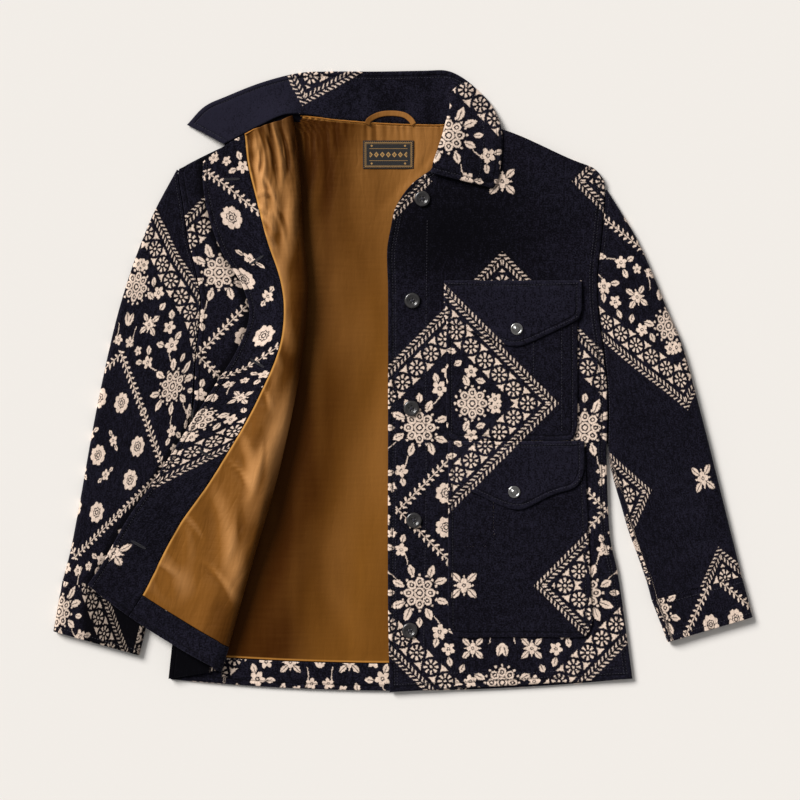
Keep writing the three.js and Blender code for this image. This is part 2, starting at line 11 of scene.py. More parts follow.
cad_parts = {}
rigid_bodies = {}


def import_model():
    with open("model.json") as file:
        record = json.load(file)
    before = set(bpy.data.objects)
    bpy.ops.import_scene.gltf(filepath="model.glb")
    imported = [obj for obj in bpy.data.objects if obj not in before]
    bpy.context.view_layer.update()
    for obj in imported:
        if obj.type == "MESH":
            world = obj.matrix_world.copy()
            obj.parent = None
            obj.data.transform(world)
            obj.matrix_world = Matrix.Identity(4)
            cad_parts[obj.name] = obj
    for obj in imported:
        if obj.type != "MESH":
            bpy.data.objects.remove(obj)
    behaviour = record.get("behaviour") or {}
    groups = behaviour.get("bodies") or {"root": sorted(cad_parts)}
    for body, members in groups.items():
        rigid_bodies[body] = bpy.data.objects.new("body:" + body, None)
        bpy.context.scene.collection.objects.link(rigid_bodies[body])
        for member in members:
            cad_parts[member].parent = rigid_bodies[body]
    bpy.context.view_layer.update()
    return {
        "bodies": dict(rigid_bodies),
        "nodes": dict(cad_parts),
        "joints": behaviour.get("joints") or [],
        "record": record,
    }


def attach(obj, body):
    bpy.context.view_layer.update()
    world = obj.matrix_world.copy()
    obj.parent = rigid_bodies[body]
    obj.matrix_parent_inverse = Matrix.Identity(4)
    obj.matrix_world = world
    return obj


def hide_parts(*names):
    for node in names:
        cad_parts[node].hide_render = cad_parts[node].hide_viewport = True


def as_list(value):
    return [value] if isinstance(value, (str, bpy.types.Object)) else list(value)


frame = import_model()

# The jacket is drawn in millimetres; this moves it to the frame's origin
originShift = np.array([-2.98830, 1.16422, 0.0])

# How thick each cloth is, the gaps between layers, and how high the layers' middles lie above the floor
backWool, frontWool, foldedWool, facingWool, hemWool = 2.4, 2.4, 2.2, 1.5, 1.2
liningCloth, foldedLining = 1.0, 0.9
sleeveWall, cuffWall, collarWall, pocketWool, flapWool = 3.0, 3.2, 3.0, 2.0, 2.2
gap, seamGap, armholeGap, underarmGap = 0.35, 0.5, 1.2, 2.2
backHeight, backLiningHeight, leftFrontHeight = 1.2, 3.25, 5.6
underHeight, underHeightAtFold = 5.5, 6.9


def table(columns, rows):
    data = np.array(rows, float)
    return {name: data[:, i] for i, name in enumerate(columns.split())}


# The body's outline: x of each side, from the neck along the shoulder, armhole and side seam
leftSide = table("y x", [
    [314, -134], [280, -214], [262, -251], [254, -264], [246, -266], [208, -260], [170, -255],
    [146, -249], [115, -242], [90, -239], [26, -245], [-50, -249], [-168, -260], [-252, -267], [-359, -278],
])
rightSide = table("y x", [
    [308, 69], [300, 122], [262, 211], [254, 231], [240, 243], [228, 245], [174, 241], [128, 236],
    [82, 237], [36, 243], [-22, 248], [-94, 247], [-187, 251], [-230, 260], [-276, 267], [-358, 278],
])
centreFront = table("y x", [
    [305, 79], [286, 65], [264, 47], [254, 39], [238, 17], [222, 3], [204, -7], [186, -11],
    [156, -16], [108, -15], [-96, -15], [-264, -15], [-374, -13],
])
# y at each side of the back's rows, and how far a row's middle drops
backRows = table("left right drop", [
    [317, 306, 3.5], [296, 300, 4], [274, 272, 2], [252, 252, 0], [215, 215, 0], [160, 160, 0],
    [100, 100, 0], [40, 40, 0], [-30, -40, 0], [-90, -100, 0], [-160, -170, 1], [-240, -240, 4],
    [-310, -310, 9], [-359, -358, 14],
])
leftFrontRows = table("centre side bow", [
    [305, 258, 9.5], [288, 236, 7], [262, 210, 4], [240, 182, 2], [218, 154, 0], [190, 126, 0],
    [156, 96, 0], [116, 62, 0], [70, 26, 0], [16, -20, 0], [-44, -70, 0], [-110, -128, 0],
    [-180, -190, 0], [-250, -252, 0], [-315, -310, 0], [-374, -358, 0],
])
foldRows = table("side foldX foldY edgeX edgeY top landing tip facing bow", [
    [253, -129, 316, -236, 261, 15, 10.2, 10.0, 60, 6],
    [226, -122, 276, -236, 232, 17, 10.2, 10.0, 60, 3],
    [190, -119, 228, -229, 194, 20, 10.2, 10.0, 62, 0],
    [146, -116, 174, -214, 154, 22, 10.4, 10.2, 58, 0],
    [108, -111, 122, -189, 112, 23, 10.8, 11.2, 48, 0],
    [74, -112, 78, -181, 75, 24, 11.0, 12.0, 44, 0],
    [36, -117, 34, -197, 33, 24, 10.8, 11.4, 53, 0],
    [-10, -124, -12, -225, -11, 24, 10.8, 11.0, 62, 0],
    [-54, -135, -66, -253, -55, 24, 11.4, 12.4, 64, 0],
    [-120, -151, -132, -293, -118, 24, 11.8, 13.0, 64, 0],
    [-186, -169, -192, -325, -164, 23, 12.0, 13.0, 61, 0],
    [-252, -187, -254, -345, -199, 21, 12.0, 13.0, 60, 0],
    [-318, -205, -318, -358, -222, 19, 11.6, 13.0, 61, -3],
    [-358, -214, -348, -374, -245, 17, 11.2, 13.0, 62, -5],
])
# The right front: its turn-up's row, half the fold's width, the slope beside it, the lining's reach below
turnUpRow, rollWidth, landingLength, liningTuck = 12, 13, 62, 55
coverReach = liningTuck - 6
sleeveColumns = "outerX outerY innerX innerY armhole height"
rightSleeveRows = table(sleeveColumns, [
    [246, 229, 247, -91, 1, 4.9], [277, 179, 249, -98, 0.8, 6.2], [295, 142, 251, -106, 0.6, 7.2],
    [320, 82, 254, -115, 0.35, 7.6], [339, 36, 257, -126, 0.15, 7.8], [363, -52, 265, -152, 0, 7.8],
    [377, -107, 273, -180, 0, 7.6], [391, -163, 284, -210, 0, 7.4], [403, -211, 295, -242, 0, 7.2],
    [409, -235, 301, -264, 0, 6.8],
])
leftSleeveRows = table(sleeveColumns, [
    [-266, 253, -249, -49, 1, 4.9], [-290, 209, -253, -62, 0.8, 6.2], [-304, 178, -254, -72, 0.6, 7.0],
    [-322, 131, -256, -84, 0.35, 7.4], [-340, 72, -260, -98, 0.15, 7.6], [-357, -1, -263, -118, 0, 7.6],
    [-370, -66, -271, -146, 0, 7.6], [-383, -139, -280, -182, 0, 7.6], [-395, -202, -291, -230, 0, 7.2],
    [-405, -240, -299, -269, 0, 6.8],
])
rightCuffRows = table(sleeveColumns, [
    [409.1, -235.5, 301.1, -264.5, 0, 7.4], [416, -261, 311, -290, 0, 7.4], [422, -284, 320, -314, 0, 7.2],
])
leftCuffRows = table(sleeveColumns, [
    [-405.1, -240.5, -299.1, -269.5, 0, 7.4], [-411, -272, -306, -301, 0, 7.4],
    [-416, -301, -313, -330, 0, 7.2],
])
sleeveEdgeRound, foldMargin = 6, 0.15
collarRows = table("neckX neckY neckZ rollX rollY rollZ outerX outerY outerZ", [
    [-211, 282, 10.4, -233, 294, 6.5, -256, 306, 2.4],
    [-187, 294.5, 10.6, -211, 312, 6.0, -235, 328, 1.9],
    [-166, 305, 11.4, -187, 325, 5.5, -207, 341, 1.6],
    [-139, 317, 13.0, -152, 337, 6.0, -166, 357, 1.6],
    [-112, 317.8, 4.6, -118, 342, 3.0, -123, 368, 1.6],
    [-81, 313.5, 3.6, -82, 340, 2.4, -85, 370, 1.6],
    [-25, 309, 3.6, -25, 336, 2.4, -25, 370, 1.6],
    [31, 307, 3.6, 31, 337, 2.4, 28, 371, 1.6],
    [55, 307.5, 3.8, 52, 338, 4.0, 55, 371, 2.0],
    [64, 311, 5.0, 59, 343, 10.0, 75, 362, 2.6],
    [71, 308, 7.6, 61, 329, 15.0, 94, 346, 3.0],
    [80, 294, 9.0, 56, 310, 18.0, 110, 328, 4.0],
    [80, 280, 9.0, 51, 290, 19.0, 121, 300, 8.8],
    [75, 266, 9.0, 45, 270, 19.0, 121, 269, 9.2],
    [67, 256, 9.0, 41, 256, 18.0, 117, 240, 9.2],
    [57, 247, 9.0, 40, 247, 17.0, 111, 229, 9.2],
])
patchColumns = "topX topY lowX lowY"
chestPocketRows = table(patchColumns, [
    [55, 103, 55, -54], [58, 103, 58, -65], [68, 103, 68, -72.3], [112, 103, 112, -72.3],
    [157, 103, 157, -72.3], [201, 103, 201, -72.3], [209, 103, 209, -65], [212, 103, 212, -54],
])
chestFlapRows = table(patchColumns, [
    [52, 119, 52, 73], [64, 119, 64, 66], [107, 119, 107, 49], [123, 119, 123, 43],
    [137, 119, 137, 40], [153, 119, 153, 44], [177, 119, 177, 55], [202, 119, 202, 67],
    [213, 119, 213, 74], [217, 119, 217, 86],
])
lowerPocketRows = table(patchColumns, [
    [57, -90, 57, -290], [60, -90, 61, -301], [70, -90, 71, -308], [118, -90, 119, -308],
    [164, -90, 167, -308], [207, -90, 215, -308], [217, -90, 226, -301], [221, -90, 230, -288],
])
lowerFlapRows = table(patchColumns, [
    [57, -73, 57, -122], [95, -73, 95, -138], [109, -73, 109, -145], [123, -73, 123, -151],
    [137, -73, 137, -155], [151, -73, 151, -153], [181, -73, 181, -138], [206, -73, 206, -130],
    [215, -73, 215, -121], [220, -73, 220, -106],
])
flapSlope = 12
loopLine = table("x y", [
    [-40, 306], [-37, 312], [-25, 318], [-10, 319.5], [4, 317.5], [12, 312], [16, 306],
])
loopWidth, loopWall, labelWall = 6.5, 1.2, 0.8
foldColumns = "x y length width turn rise"
softFolds = table(foldColumns, [
    [345, -30, 170, 34, 68, 1.6], [372, -150, 150, 30, 72, 1.5], [330, -190, 120, 30, 50, 1.2],
    [300, 60, 190, 36, 80, 1.4], [-330, 40, 180, 34, 104, 1.4], [-375, -120, 160, 30, 100, 1.2],
    [-345, -250, 90, 28, 80, 1.0], [20, 150, 110, 40, 60, 1.0], [150, 190, 170, 60, 8, 1.0],
    [235, -150, 140, 40, 84, 0.9],
])


# Surfaces. Each point function takes arrays of rows and columns and gives points in millimetres.

def valueAt(rows, name, at, key=None):  # a smooth curve through a table's column, by row or by its key
    values = rows[name]
    keys = rows[key] if key else np.arange(len(values), dtype=float)
    way = np.sign(keys[-1] - keys[0])
    at = np.asarray(at, float)
    i = np.clip(np.searchsorted(keys * way, at * way) - 1, 0, len(keys) - 2)
    slopes = np.array([
        (values[min(k + 1, len(keys) - 1)] - values[max(k - 1, 0)])
        / (keys[min(k + 1, len(keys) - 1)] - keys[max(k - 1, 0)]) for k in range(len(keys))])
    step = keys[i + 1] - keys[i]
    t = np.clip((at - keys[i]) / step, 0, 1)
    rise = t * t * (3 - 2 * t)
    return (values[i] + (values[i + 1] - values[i]) * rise
            + step * (slopes[i] * t * (1 - t) ** 2 - slopes[i + 1] * t * t * (1 - t)))


def smooth(t):
    s = np.clip(t, 0, 1)
    return s * s * (3 - 2 * s)


def points(*parts):
    return np.stack(np.broadcast_arrays(*parts), axis=-1)


def foldRise(x, y):  # the large soft folds that the solids have as well
    rise = 0
    for k in range(len(softFolds["x"])):
        fold = {name: softFolds[name][k] for name in softFolds}
        turn = math.radians(fold["turn"])
        dx, dy = x - fold["x"], y - fold["y"]
        along = (dx * math.cos(turn) + dy * math.sin(turn)) / (fold["length"] / 2)
        across = (dy * math.cos(turn) - dx * math.sin(turn)) / (fold["width"] / 2)
        inside = (np.abs(along) < 1) & (np.abs(across) < 1)
        hump = np.cos(along * math.pi / 2) * np.cos(across * math.pi / 2)
        rise = rise + inside * fold["rise"] * hump ** 2
    return rise


def backPoint(height, inset):  # row 0 is the hem, column 0 the side at -X
    lastRow = len(backRows["left"]) - 1

    def point(row, column):
        leftY = valueAt(backRows, "left", lastRow - row)
        rightY = valueAt(backRows, "right", lastRow - row)
        left = valueAt(leftSide, "x", leftY, "y") + inset
        right = valueAt(rightSide, "x", rightY, "y") - inset
        drop = valueAt(backRows, "drop", lastRow - row)
        return points(left + (right - left) * column,
                      leftY + (rightY - leftY) * column - drop * (1 - (2 * column - 1) ** 2), height)
    return point


def frontPlane(x, y):  # the left front without its creases; it sinks along the side seam
    fromSide = valueAt(rightSide, "x", y, "y") - x
    lowered = np.where(y < 240, 1.2 * (1 - smooth(fromSide / 9)), 0)
    return leftFrontHeight + foldRise(x, y) - lowered


def leftFrontPoint(row, column):  # column 0 is the centre front, 1 the side seam
    at = len(leftFrontRows["centre"]) - 1 - row
    centreY = valueAt(leftFrontRows, "centre", at)
    sideY = valueAt(leftFrontRows, "side", at)
    centreX = valueAt(centreFront, "x", centreY, "y")
    x = centreX + (valueAt(rightSide, "x", sideY, "y") - centreX) * column
    y = centreY + (sideY - centreY) * column
    y = y + valueAt(leftFrontRows, "bow", at) * 6.75 * column * (1 - column) ** 2
    return points(x, y, leftFrontMiddle(x, y))


def patchPoint(rows, lift):
    def point(row, column):
        topX, topY, lowX, lowY = (valueAt(rows, name, column) for name in patchColumns.split())
        x = lowX + (topX - lowX) * row
        y = lowY + (topY - lowY) * row
        return points(x, y, leftFrontMiddle(x, y) + frontWool / 2 + lift(topY - y))
    return point


def rightFrontPoint(row, column):  # columns: 0 to 1 under layer, 1 to 2 roll, 2 to 3 folded open
    row, column = np.broadcast_arrays(np.asarray(row, float), np.asarray(column, float))

    def at(name):
        return valueAt(foldRows, name, row)

    def unit(way):
        return way / np.linalg.norm(way, axis=-1, keepdims=True)

    side = points(valueAt(leftSide, "x", at("side"), "y"), at("side"))
    fold = points(at("foldX") - (foldedWool / 2 + gap + foldedLining), at("foldY"))
    edge = points(at("edgeX"), at("edgeY"))
    underWay, overWay, top = unit(fold - side), unit(fold - edge), at("top")
    # the under layer
    t = np.maximum(column, -0.01)[..., None]
    end = fold - underWay * rollWidth
    length = np.linalg.norm(end - side, axis=-1)
    raised = smooth(1 - ((1 - t[..., 0]) * length - liningTuck) / 40)
    under = np.concatenate([side + (end - side) * t,
                            (underHeight + (underHeightAtFold - underHeight) * raised)[..., None]], axis=-1)
    # the roll
    angle = (column - 1.5) * math.pi
    way = unit(underWay + (overWay - underWay) * (column[..., None] - 1))
    rolled = fold - way * (rollWidth * (1 - np.cos(angle)))[..., None]
    rollHeight = (underHeightAtFold + top) / 2 + (top - underHeightAtFold) / 2 * np.sin(angle)
    roll = np.concatenate([rolled, rollHeight[..., None]], axis=-1)
    # the part folded open
    t = np.minimum(column - 2, 1.01)
    start = fold - overWay * rollWidth
    across = points(overWay[..., 1], -overWay[..., 0])
    across = across * np.where(across[..., 1:] < 0, -1, 1)
    place = start + (edge - start) * t[..., None] + across * (at("bow") * 4 * t * (1 - t))[..., None]
    length = np.linalg.norm(edge - start, axis=-1)
    level = at("landing") + (at("tip") - at("landing")) * smooth(t)
    height = level + (top - level) * (1 - smooth(t * length / np.minimum(landingLength, length)))
    over = np.concatenate([place, height[..., None]], axis=-1)
    return np.where(column[..., None] < 1, under, np.where(column[..., None] < 2, roll, over))


def underLength(row):  # from the side seam to the roll
    side = valueAt(foldRows, "side", row)
    return np.hypot(valueAt(foldRows, "foldX", row) - valueAt(leftSide, "x", side, "y"),
                    valueAt(foldRows, "foldY", row) - side) - rollWidth


def overLength(row):  # from the roll to the free edge
    return np.hypot(valueAt(foldRows, "foldX", row) - valueAt(foldRows, "edgeX", row),
                    valueAt(foldRows, "foldY", row) - valueAt(foldRows, "edgeY", row)) - rollWidth


def facingEdge(row):  # the column where the facing ends, beside the lining
    return 3 - valueAt(foldRows, "facing", row) / overLength(row)


def liningEdge(row):
    return facingEdge(row) - seamGap / overLength(row)


def coverStart(row):  # the column where the lining and turn-up begin, under the fold
    return np.maximum(1 - coverReach / underLength(row), 0.04)


def tubeStep(side):  # which way round the columns of a sleeve or cuff run
    return -1 if side is rightSide else 1


def sleeveEdges(rows, wall, row):  # both edges, the width between them, and the rounded edge's share of it
    outer = points(valueAt(rows, "outerX", row), valueAt(rows, "outerY", row))
    inner = points(valueAt(rows, "innerX", row), valueAt(rows, "innerY", row))
    width = np.linalg.norm(outer - inner, axis=-1)
    return outer, inner, width, (sleeveEdgeRound + wall / 2) / width


def sleevePoint(rows, wall, side):  # columns 0 to 4 go once round the flat tube
    step = tubeStep(side)

    def point(row, column):
        row, column = np.broadcast_arrays(np.asarray(row, float), np.asarray(column, float) * step)
        outer, inner, width, margin = sleeveEdges(rows, wall, row)
        low, high, bend = wall / 2, valueAt(rows, "height", row), sleeveEdgeRound / width
        middle, radius = (low + high) / 2, (high - low) / 2

        def place(share, height):
            flat = outer + (inner - outer) * share[..., None]
            seamX = rows["outerX"][0] + (rows["innerX"][0] - rows["outerX"][0]) * share
            seamY = rows["outerY"][0] + (rows["innerY"][0] - rows["outerY"][0]) * share
            onSeam = valueAt(side, "x", seamY, "y")
            x = flat[..., 0] + valueAt(rows, "armhole", row) * (
                onSeam - seamX - step * (armholeGap + underarmGap * np.clip(share, 0, 1) ** 6))
            return points(x, flat[..., 1], height)

        turn = np.mod(column, 4)
        lower = place(margin + (1 - 2 * margin) * turn, low)
        angle = (turn - 1.5) * math.pi
        inside = place(1 - margin + bend * np.cos(angle), middle + radius * np.sin(angle))
        upper = place(1 - margin - (1 - 2 * margin) * (turn - 2), high)
        inward = np.minimum(turn - 2, 3 - turn) / foldMargin
        upper[..., 2] += foldRise(upper[..., 0], upper[..., 1]) * smooth(inward) * smooth(row)
        angle = (turn - 3.5) * math.pi
        outside = place(margin - bend * np.cos(angle), middle - radius * np.sin(angle))
        turn = turn[..., None]
        return np.where(turn <= 1, lower, np.where(turn < 2, inside, np.where(turn <= 3, upper, outside)))
    return point


def collarPoint(row, column):  # column 0 is the neck seam, 1 the outer edge
    row, column = np.broadcast_arrays(np.asarray(row, float), np.asarray(column, float))
    neck, roll, outer = (points(*(valueAt(collarRows, line + axis, row) for axis in "XYZ"))
                         for line in ("neck", "roll", "outer"))
    middle = (neck + outer) / 2
    pull = middle + (roll - middle) * 4 / 3
    low = pull.copy()
    low[..., 2] = np.minimum(pull[..., 2], neck[..., 2])
    t = column[..., None]
    return neck * (1 - t) ** 3 + low * 3 * t * (1 - t) ** 2 + pull * 3 * t * t * (1 - t) + outer * t ** 3


def loopPoint(row, column):
    h = 0.05
    x, y = valueAt(loopLine, "x", row), valueAt(loopLine, "y", row)
    wayX = valueAt(loopLine, "x", row + h) - valueAt(loopLine, "x", row - h)
    wayY = valueAt(loopLine, "y", row + h) - valueAt(loopLine, "y", row - h)
    length = np.hypot(wayX, wayY)
    across = (column - 0.5) * loopWidth
    return points(x - wayY / length * across, y + wayX / length * across,
                  6.1 - 0.04 * (y - loopLine["y"][0]))


# Soft creases: ends of each one, its width and its rise, in millimetres. A dip is a negative rise.
creaseColumns = "x1 y1 x2 y2 width rise"
frontCreases = table(creaseColumns, [
    [40, 250, 150, 205, 34, 0.7], [90, 285, 200, 262, 30, 0.6], [4, 196, 60, 176, 22, 0.6],
    [2, 128, 46, 150, 18, 0.5], [28, 196, 34, 110, 20, 0.5], [2, 60, 48, 30, 20, 0.5],
    [0, -70, 44, -96, 22, 0.5], [4, -214, 50, -236, 22, 0.6], [226, 120, 210, -40, 22, 0.8],
    [246, 0, 222, -120, 26, 0.9], [238, -160, 226, -280, 30, 0.8], [60, -330, 160, -352, 26, 0.7],
    [170, -340, 262, -334, 24, 0.6], [10, -340, 48, -368, 24, 0.6], [236, 200, 216, 120, 20, 0.6],
])
sleeveCreases = table(creaseColumns, [
    [262, 150, 300, 60, 30, 1.0], [268, 70, 320, -10, 26, 1.1], [262, 20, 296, -60, 22, 1.0],
    [300, 30, 352, -40, 34, 0.9], [286, -80, 350, -130, 30, 1.2], [290, -130, 376, -150, 26, 1.0],
    [300, -190, 388, -170, 24, 0.9], [318, -236, 394, -206, 20, 0.8], [352, 0, 372, -110, 24, 0.9],
    [330, -246, 352, -206, 16, 0.6], [372, -232, 386, -196, 16, 0.6],
    [-262, 196, -292, 110, 26, 1.0], [-266, 120, -310, 40, 28, 1.1], [-262, 30, -330, -30, 26, 1.0],
    [-276, -40, -350, -90, 30, 1.1], [-280, -100, -366, -110, 24, 1.0], [-290, -170, -372, -150, 24, 1.0],
    [-300, -232, -384, -190, 22, 0.9], [-352, 20, -366, -80, 22, 0.8],
    [-330, -250, -346, -214, 16, 0.6], [-372, -236, -380, -196, 16, 0.6],
])


def creaseRise(x, y, creases):  # a ridge along each line, with a shallow dip beside it
    total = 0
    for k in range(len(creases["x1"])):
        x1, y1, x2, y2, width, rise = (creases[name][k] for name in creaseColumns.split())
        length = math.hypot(x2 - x1, y2 - y1)
        wayX, wayY = (x2 - x1) / length, (y2 - y1) / length
        along = ((x - x1) * wayX + (y - y1) * wayY) / length
        bow = 0.06 * length * np.sin(np.clip(along, 0, 1) * math.pi)
        across = ((y - y1) * wayX - (x - x1) * wayY) - bow
        fade = smooth((along + 0.15) / 0.5) * smooth((1.15 - along) / 0.5)
        wide = width * (0.35 + 0.25 * np.clip(along, 0, 1))
        total = total + rise * fade * (np.exp(-(across / wide) ** 2)
                                       - 0.35 * np.exp(-((across + 1.7 * wide) / (0.8 * wide)) ** 2))
    return total


def evened(rise):  # a height field as painted shading: 0 in its middle, about 1 (painted light) on crests and -1 (painted shade) in troughs
    def tone(x, y):
        height = rise(x, y)
        return np.clip((height - height.mean()) / height.std(), -2.2, 2.2)
    return tone


def ripple(x, y, size, seed):  # uneven waves of about one size
    rng = np.random.default_rng(seed)
    total = 0
    for _ in range(7):
        turn, phase, scale = rng.uniform(0, math.tau), rng.uniform(0, math.tau), rng.uniform(0.6, 1.5)
        along = x * math.cos(turn) + y * math.sin(turn)
        total = total + np.sin(along * math.tau / (size * scale) + phase)
    return total / 7


# Where the buttons and snaps sit on the left front
buttonPlaces = [(26, 217), (14, 95), (13, -34), (16, -168), (11, -300)]
snapPlaces = [(139, 61), (136, -134)]


def frontRise(x, y):  # the front's own creases, smoothed out where a button or snap is sewn on
    rise = creaseRise(x, y, frontCreases) + 0.3 * ripple(x, y, 70, 3)
    for fx, fy in buttonPlaces + snapPlaces:
        rise = rise * (1 - np.exp(-((x - fx) ** 2 + (y - fy) ** 2) / 18 ** 2))
    return np.maximum(rise, -0.3)


def leftFrontMiddle(x, y):
    return frontPlane(x, y) + frontRise(x, y)


def sleeveRise(x, y):
    return np.maximum(creaseRise(x, y, sleeveCreases) + 0.35 * ripple(x, y, 60, 5), -0.6)


# Grid steps: close together beside a sewn edge, so that its stitching can sink in
sewnSteps = np.array([0, 0.5, 1.4, 3.0, 4.8, 6.0, 7.2, 9.5])
rawSteps = np.array([0, 0.5, 1.4])


def spread(length, spacing, start=sewnSteps, end=sewnSteps):  # shares of a length, closer at both ends
    length = np.atleast_1d(np.asarray(length, float)).reshape(-1, 1)
    count = max(int(round((length.max() - start[-1] - end[-1]) / spacing)), 1)
    shares = np.linspace(0, 1, count + 1)[None]
    inner = start[-1] / length + (1 - (start[-1] + end[-1]) / length) * shares
    return np.hstack([start[:-1] / length, inner, 1 - end[:-1][::-1] / length])


def borderDistance(middle, borders):  # from each point of a grid to the nearest of its named borders
    lines = {"start": middle[:, 0], "end": middle[:, -1], "first": middle[0], "last": middle[-1]}
    dots = []
    for name in borders:
        line = lines[name]
        for a, b in zip(line[:-1], line[1:]):
            count = max(int(np.linalg.norm(b - a)), 1)
            dots.extend(a + (b - a) * k / count for k in range(count))
        dots.append(line[-1])
    tree = KDTree(len(dots))
    for k, dot in enumerate(dots):
        tree.insert(dot, k)
    tree.balance()
    flat = middle.reshape(-1, 3)
    return np.array([tree.find(p)[2] for p in flat]).reshape(middle.shape[:2])


def stand(name, data):  # an object at the origin, in the scene
    made = bpy.data.objects.new(name, data)
    bpy.context.collection.objects.link(made)
    return made


def meshOf(name, vertices, faces, uv, uvFaces, material, values=None):  # values: one number per vertex
    mesh = bpy.data.meshes.new(name)
    mesh.vertices.add(len(vertices))
    mesh.vertices.foreach_set("co", ((vertices + originShift) / 1000).astype(np.float32).ravel())
    mesh.loops.add(faces.size)
    mesh.loops.foreach_set("vertex_index", faces.ravel().astype(np.int32))
    mesh.polygons.add(len(faces))
    mesh.polygons.foreach_set("loop_start", np.arange(0, faces.size, 4, dtype=np.int32))
    mesh.polygons.foreach_set("loop_total", np.full(len(faces), 4, np.int32))
    layer = mesh.uv_layers.new(name="cloth")
    layer.data.foreach_set("uv", uv[uvFaces.ravel()].astype(np.float32).ravel())
    for key, data in (values or {}).items():
        attribute = mesh.attributes.new(key, "FLOAT", "POINT")
        attribute.data.foreach_set("value", data.astype(np.float32).ravel())
    mesh.polygons.foreach_set("use_smooth", np.ones(len(faces), bool))
    mesh.update(calc_edges=True)
    mesh.validate()
    mesh.materials.append(material)
    return stand(name, mesh)


def clothPlace(place):  # from a place on the jacket, in millimetres, to one on the printed cloth, in metres
    turn = math.radians(place.get("turn", 0))
    wide, high = place.get("stretch", (1, 1))

    def uvOf(middle, row, column):
        x = middle[..., 0] - place["centre"][0]
        y = middle[..., 1] - place["centre"][1]
        return points((x * math.cos(turn) + y * math.sin(turn)) / wide,
                      (y * math.cos(turn) - x * math.sin(turn)) / high) / 1000
    return uvOf


# One cloth of a given thickness. Its middle is the surface that point gives, unless base says how high above
# it the cloth's lower face lies. Sewn borders sink in at their stitches, raw ones are only rounded.
def buildCloth(name, point, rows, columns, wall, material, uvOf, sewn="", raw="", base=None, ring=False,
               rise=None, tone=None, stitchAt=6.0, sink=0.6, rim=1.5, pucker=0.25, seed=1):
    rows2d, columns2d = np.broadcast_arrays(np.asarray(rows, float)[:, None], np.atleast_2d(columns))
    middle = point(rows2d, columns2d)
    h = 0.01
    normal = np.cross(point(rows2d, columns2d + h) - point(rows2d, columns2d - h),
                      point(rows2d + h, columns2d) - point(rows2d - h, columns2d))
    normal /= np.linalg.norm(normal, axis=-1, keepdims=True)
    uv = uvOf(middle, rows2d, columns2d)
    x, y = middle[..., 0], middle[..., 1]
    borders = [*sewn.split(), *raw.split()]
    thick = np.ones(x.shape)
    edge = np.full(x.shape, 100.0)
    relief = np.zeros(x.shape)
    if borders:
        near = np.clip(borderDistance(middle, borders) / rim, 0, 1)
        thick = 0.2 + 0.8 * np.sqrt(1 - (1 - near) ** 2)
    if sewn:
        edge = borderDistance(middle, sewn.split())
        relief = (0.4 * np.exp(-((edge - 2.8) / 2) ** 2) - sink * np.exp(-((edge - stitchAt) / 1.1) ** 2)
                  + pucker * ripple(x, y, 13, seed) * np.exp(-((edge - stitchAt - 2) / 6) ** 2))
    half = wall / 2
    centre = 0 if base is None else base + half
    upper = middle + normal * (centre + half * thick + relief)[..., None]
    lower = middle + normal * (centre - half * thick)[..., None]
    if rise is not None:
        lifted = rise(x, y) * smooth(normal[..., 2] * 1.6 - 0.5)
        upper[..., 2] += lifted
        lower[..., 2] += lifted if ring else np.maximum(lifted, 0)
    tall, wide = x.shape
    side = wide * tall
    i, j = np.meshgrid(np.arange(tall - 1), np.arange(wide if ring else wide - 1), indexing="ij")
    k = (j + 1) % wide
    a, b, c, d = i * wide + j, i * wide + k, (i + 1) * wide + k, (i + 1) * wide + j
    faces = [np.stack([a, d, c, b], -1).reshape(-1, 4), side + np.stack([a, b, c, d], -1).reshape(-1, 4)]
    # the UV grid has one column more on a ring, where it closes
    uvWide = wide + 1 if ring else wide
    if ring:
        fullTurn = columns2d[:, :1] + 4 * np.sign(columns2d[0, 1] - columns2d[0, 0])
        closing = uvOf(middle[:, :1], rows2d[:, :1], fullTurn)
        uv = np.concatenate([uv, closing], axis=1)
    ua, ub, uc, ud = i * uvWide + j, i * uvWide + j + 1, (i + 1) * uvWide + j + 1, (i + 1) * uvWide + j
    uvFaces = [np.stack([ua, ud, uc, ub], -1).reshape(-1, 4), np.stack([ua, ub, uc, ud], -1).reshape(-1, 4)]
    j = np.arange(wide if ring else wide - 1)
    k, last, uLast = (j + 1) % wide, (tall - 1) * wide, (tall - 1) * uvWide
    faces += [np.stack([j, k, side + k, side + j], -1),
              np.stack([last + k, last + j, side + last + j, side + last + k], -1)]
    uvFaces += [np.stack([j, j + 1, j + 1, j], -1), uLast + np.stack([j + 1, j, j, j + 1], -1)]
    if not ring:
        i = np.arange(tall - 1)
        a, b = i * wide, (i + 1) * wide
        c, d = a + wide - 1, b + wide - 1
        faces += [np.stack([b, a, side + a, side + b], -1), np.stack([c, d, side + d, side + c], -1)]
        uvFaces += [np.stack([b, a, a, b], -1), np.stack([c, d, d, c], -1)]
    vertices = np.concatenate([lower.reshape(-1, 3), upper.reshape(-1, 3)])
    # the painted shading is kept in the fold attribute, from which the shaders paint light and shade
    fold = tone(x, y) if tone else np.zeros(x.shape)
    values = {"edge": np.concatenate([edge.ravel()] * 2), "fold": np.concatenate([fold.ravel()] * 2)}
    piece = meshOf(name, vertices, np.concatenate(faces), uv.reshape(-1, 2), np.concatenate(uvFaces),
                   material, values)
    piece["grid"] = [tall, wide]
    return piece


# Materials. A Term is one socket of a node tree, so that a pattern reads as a sum.


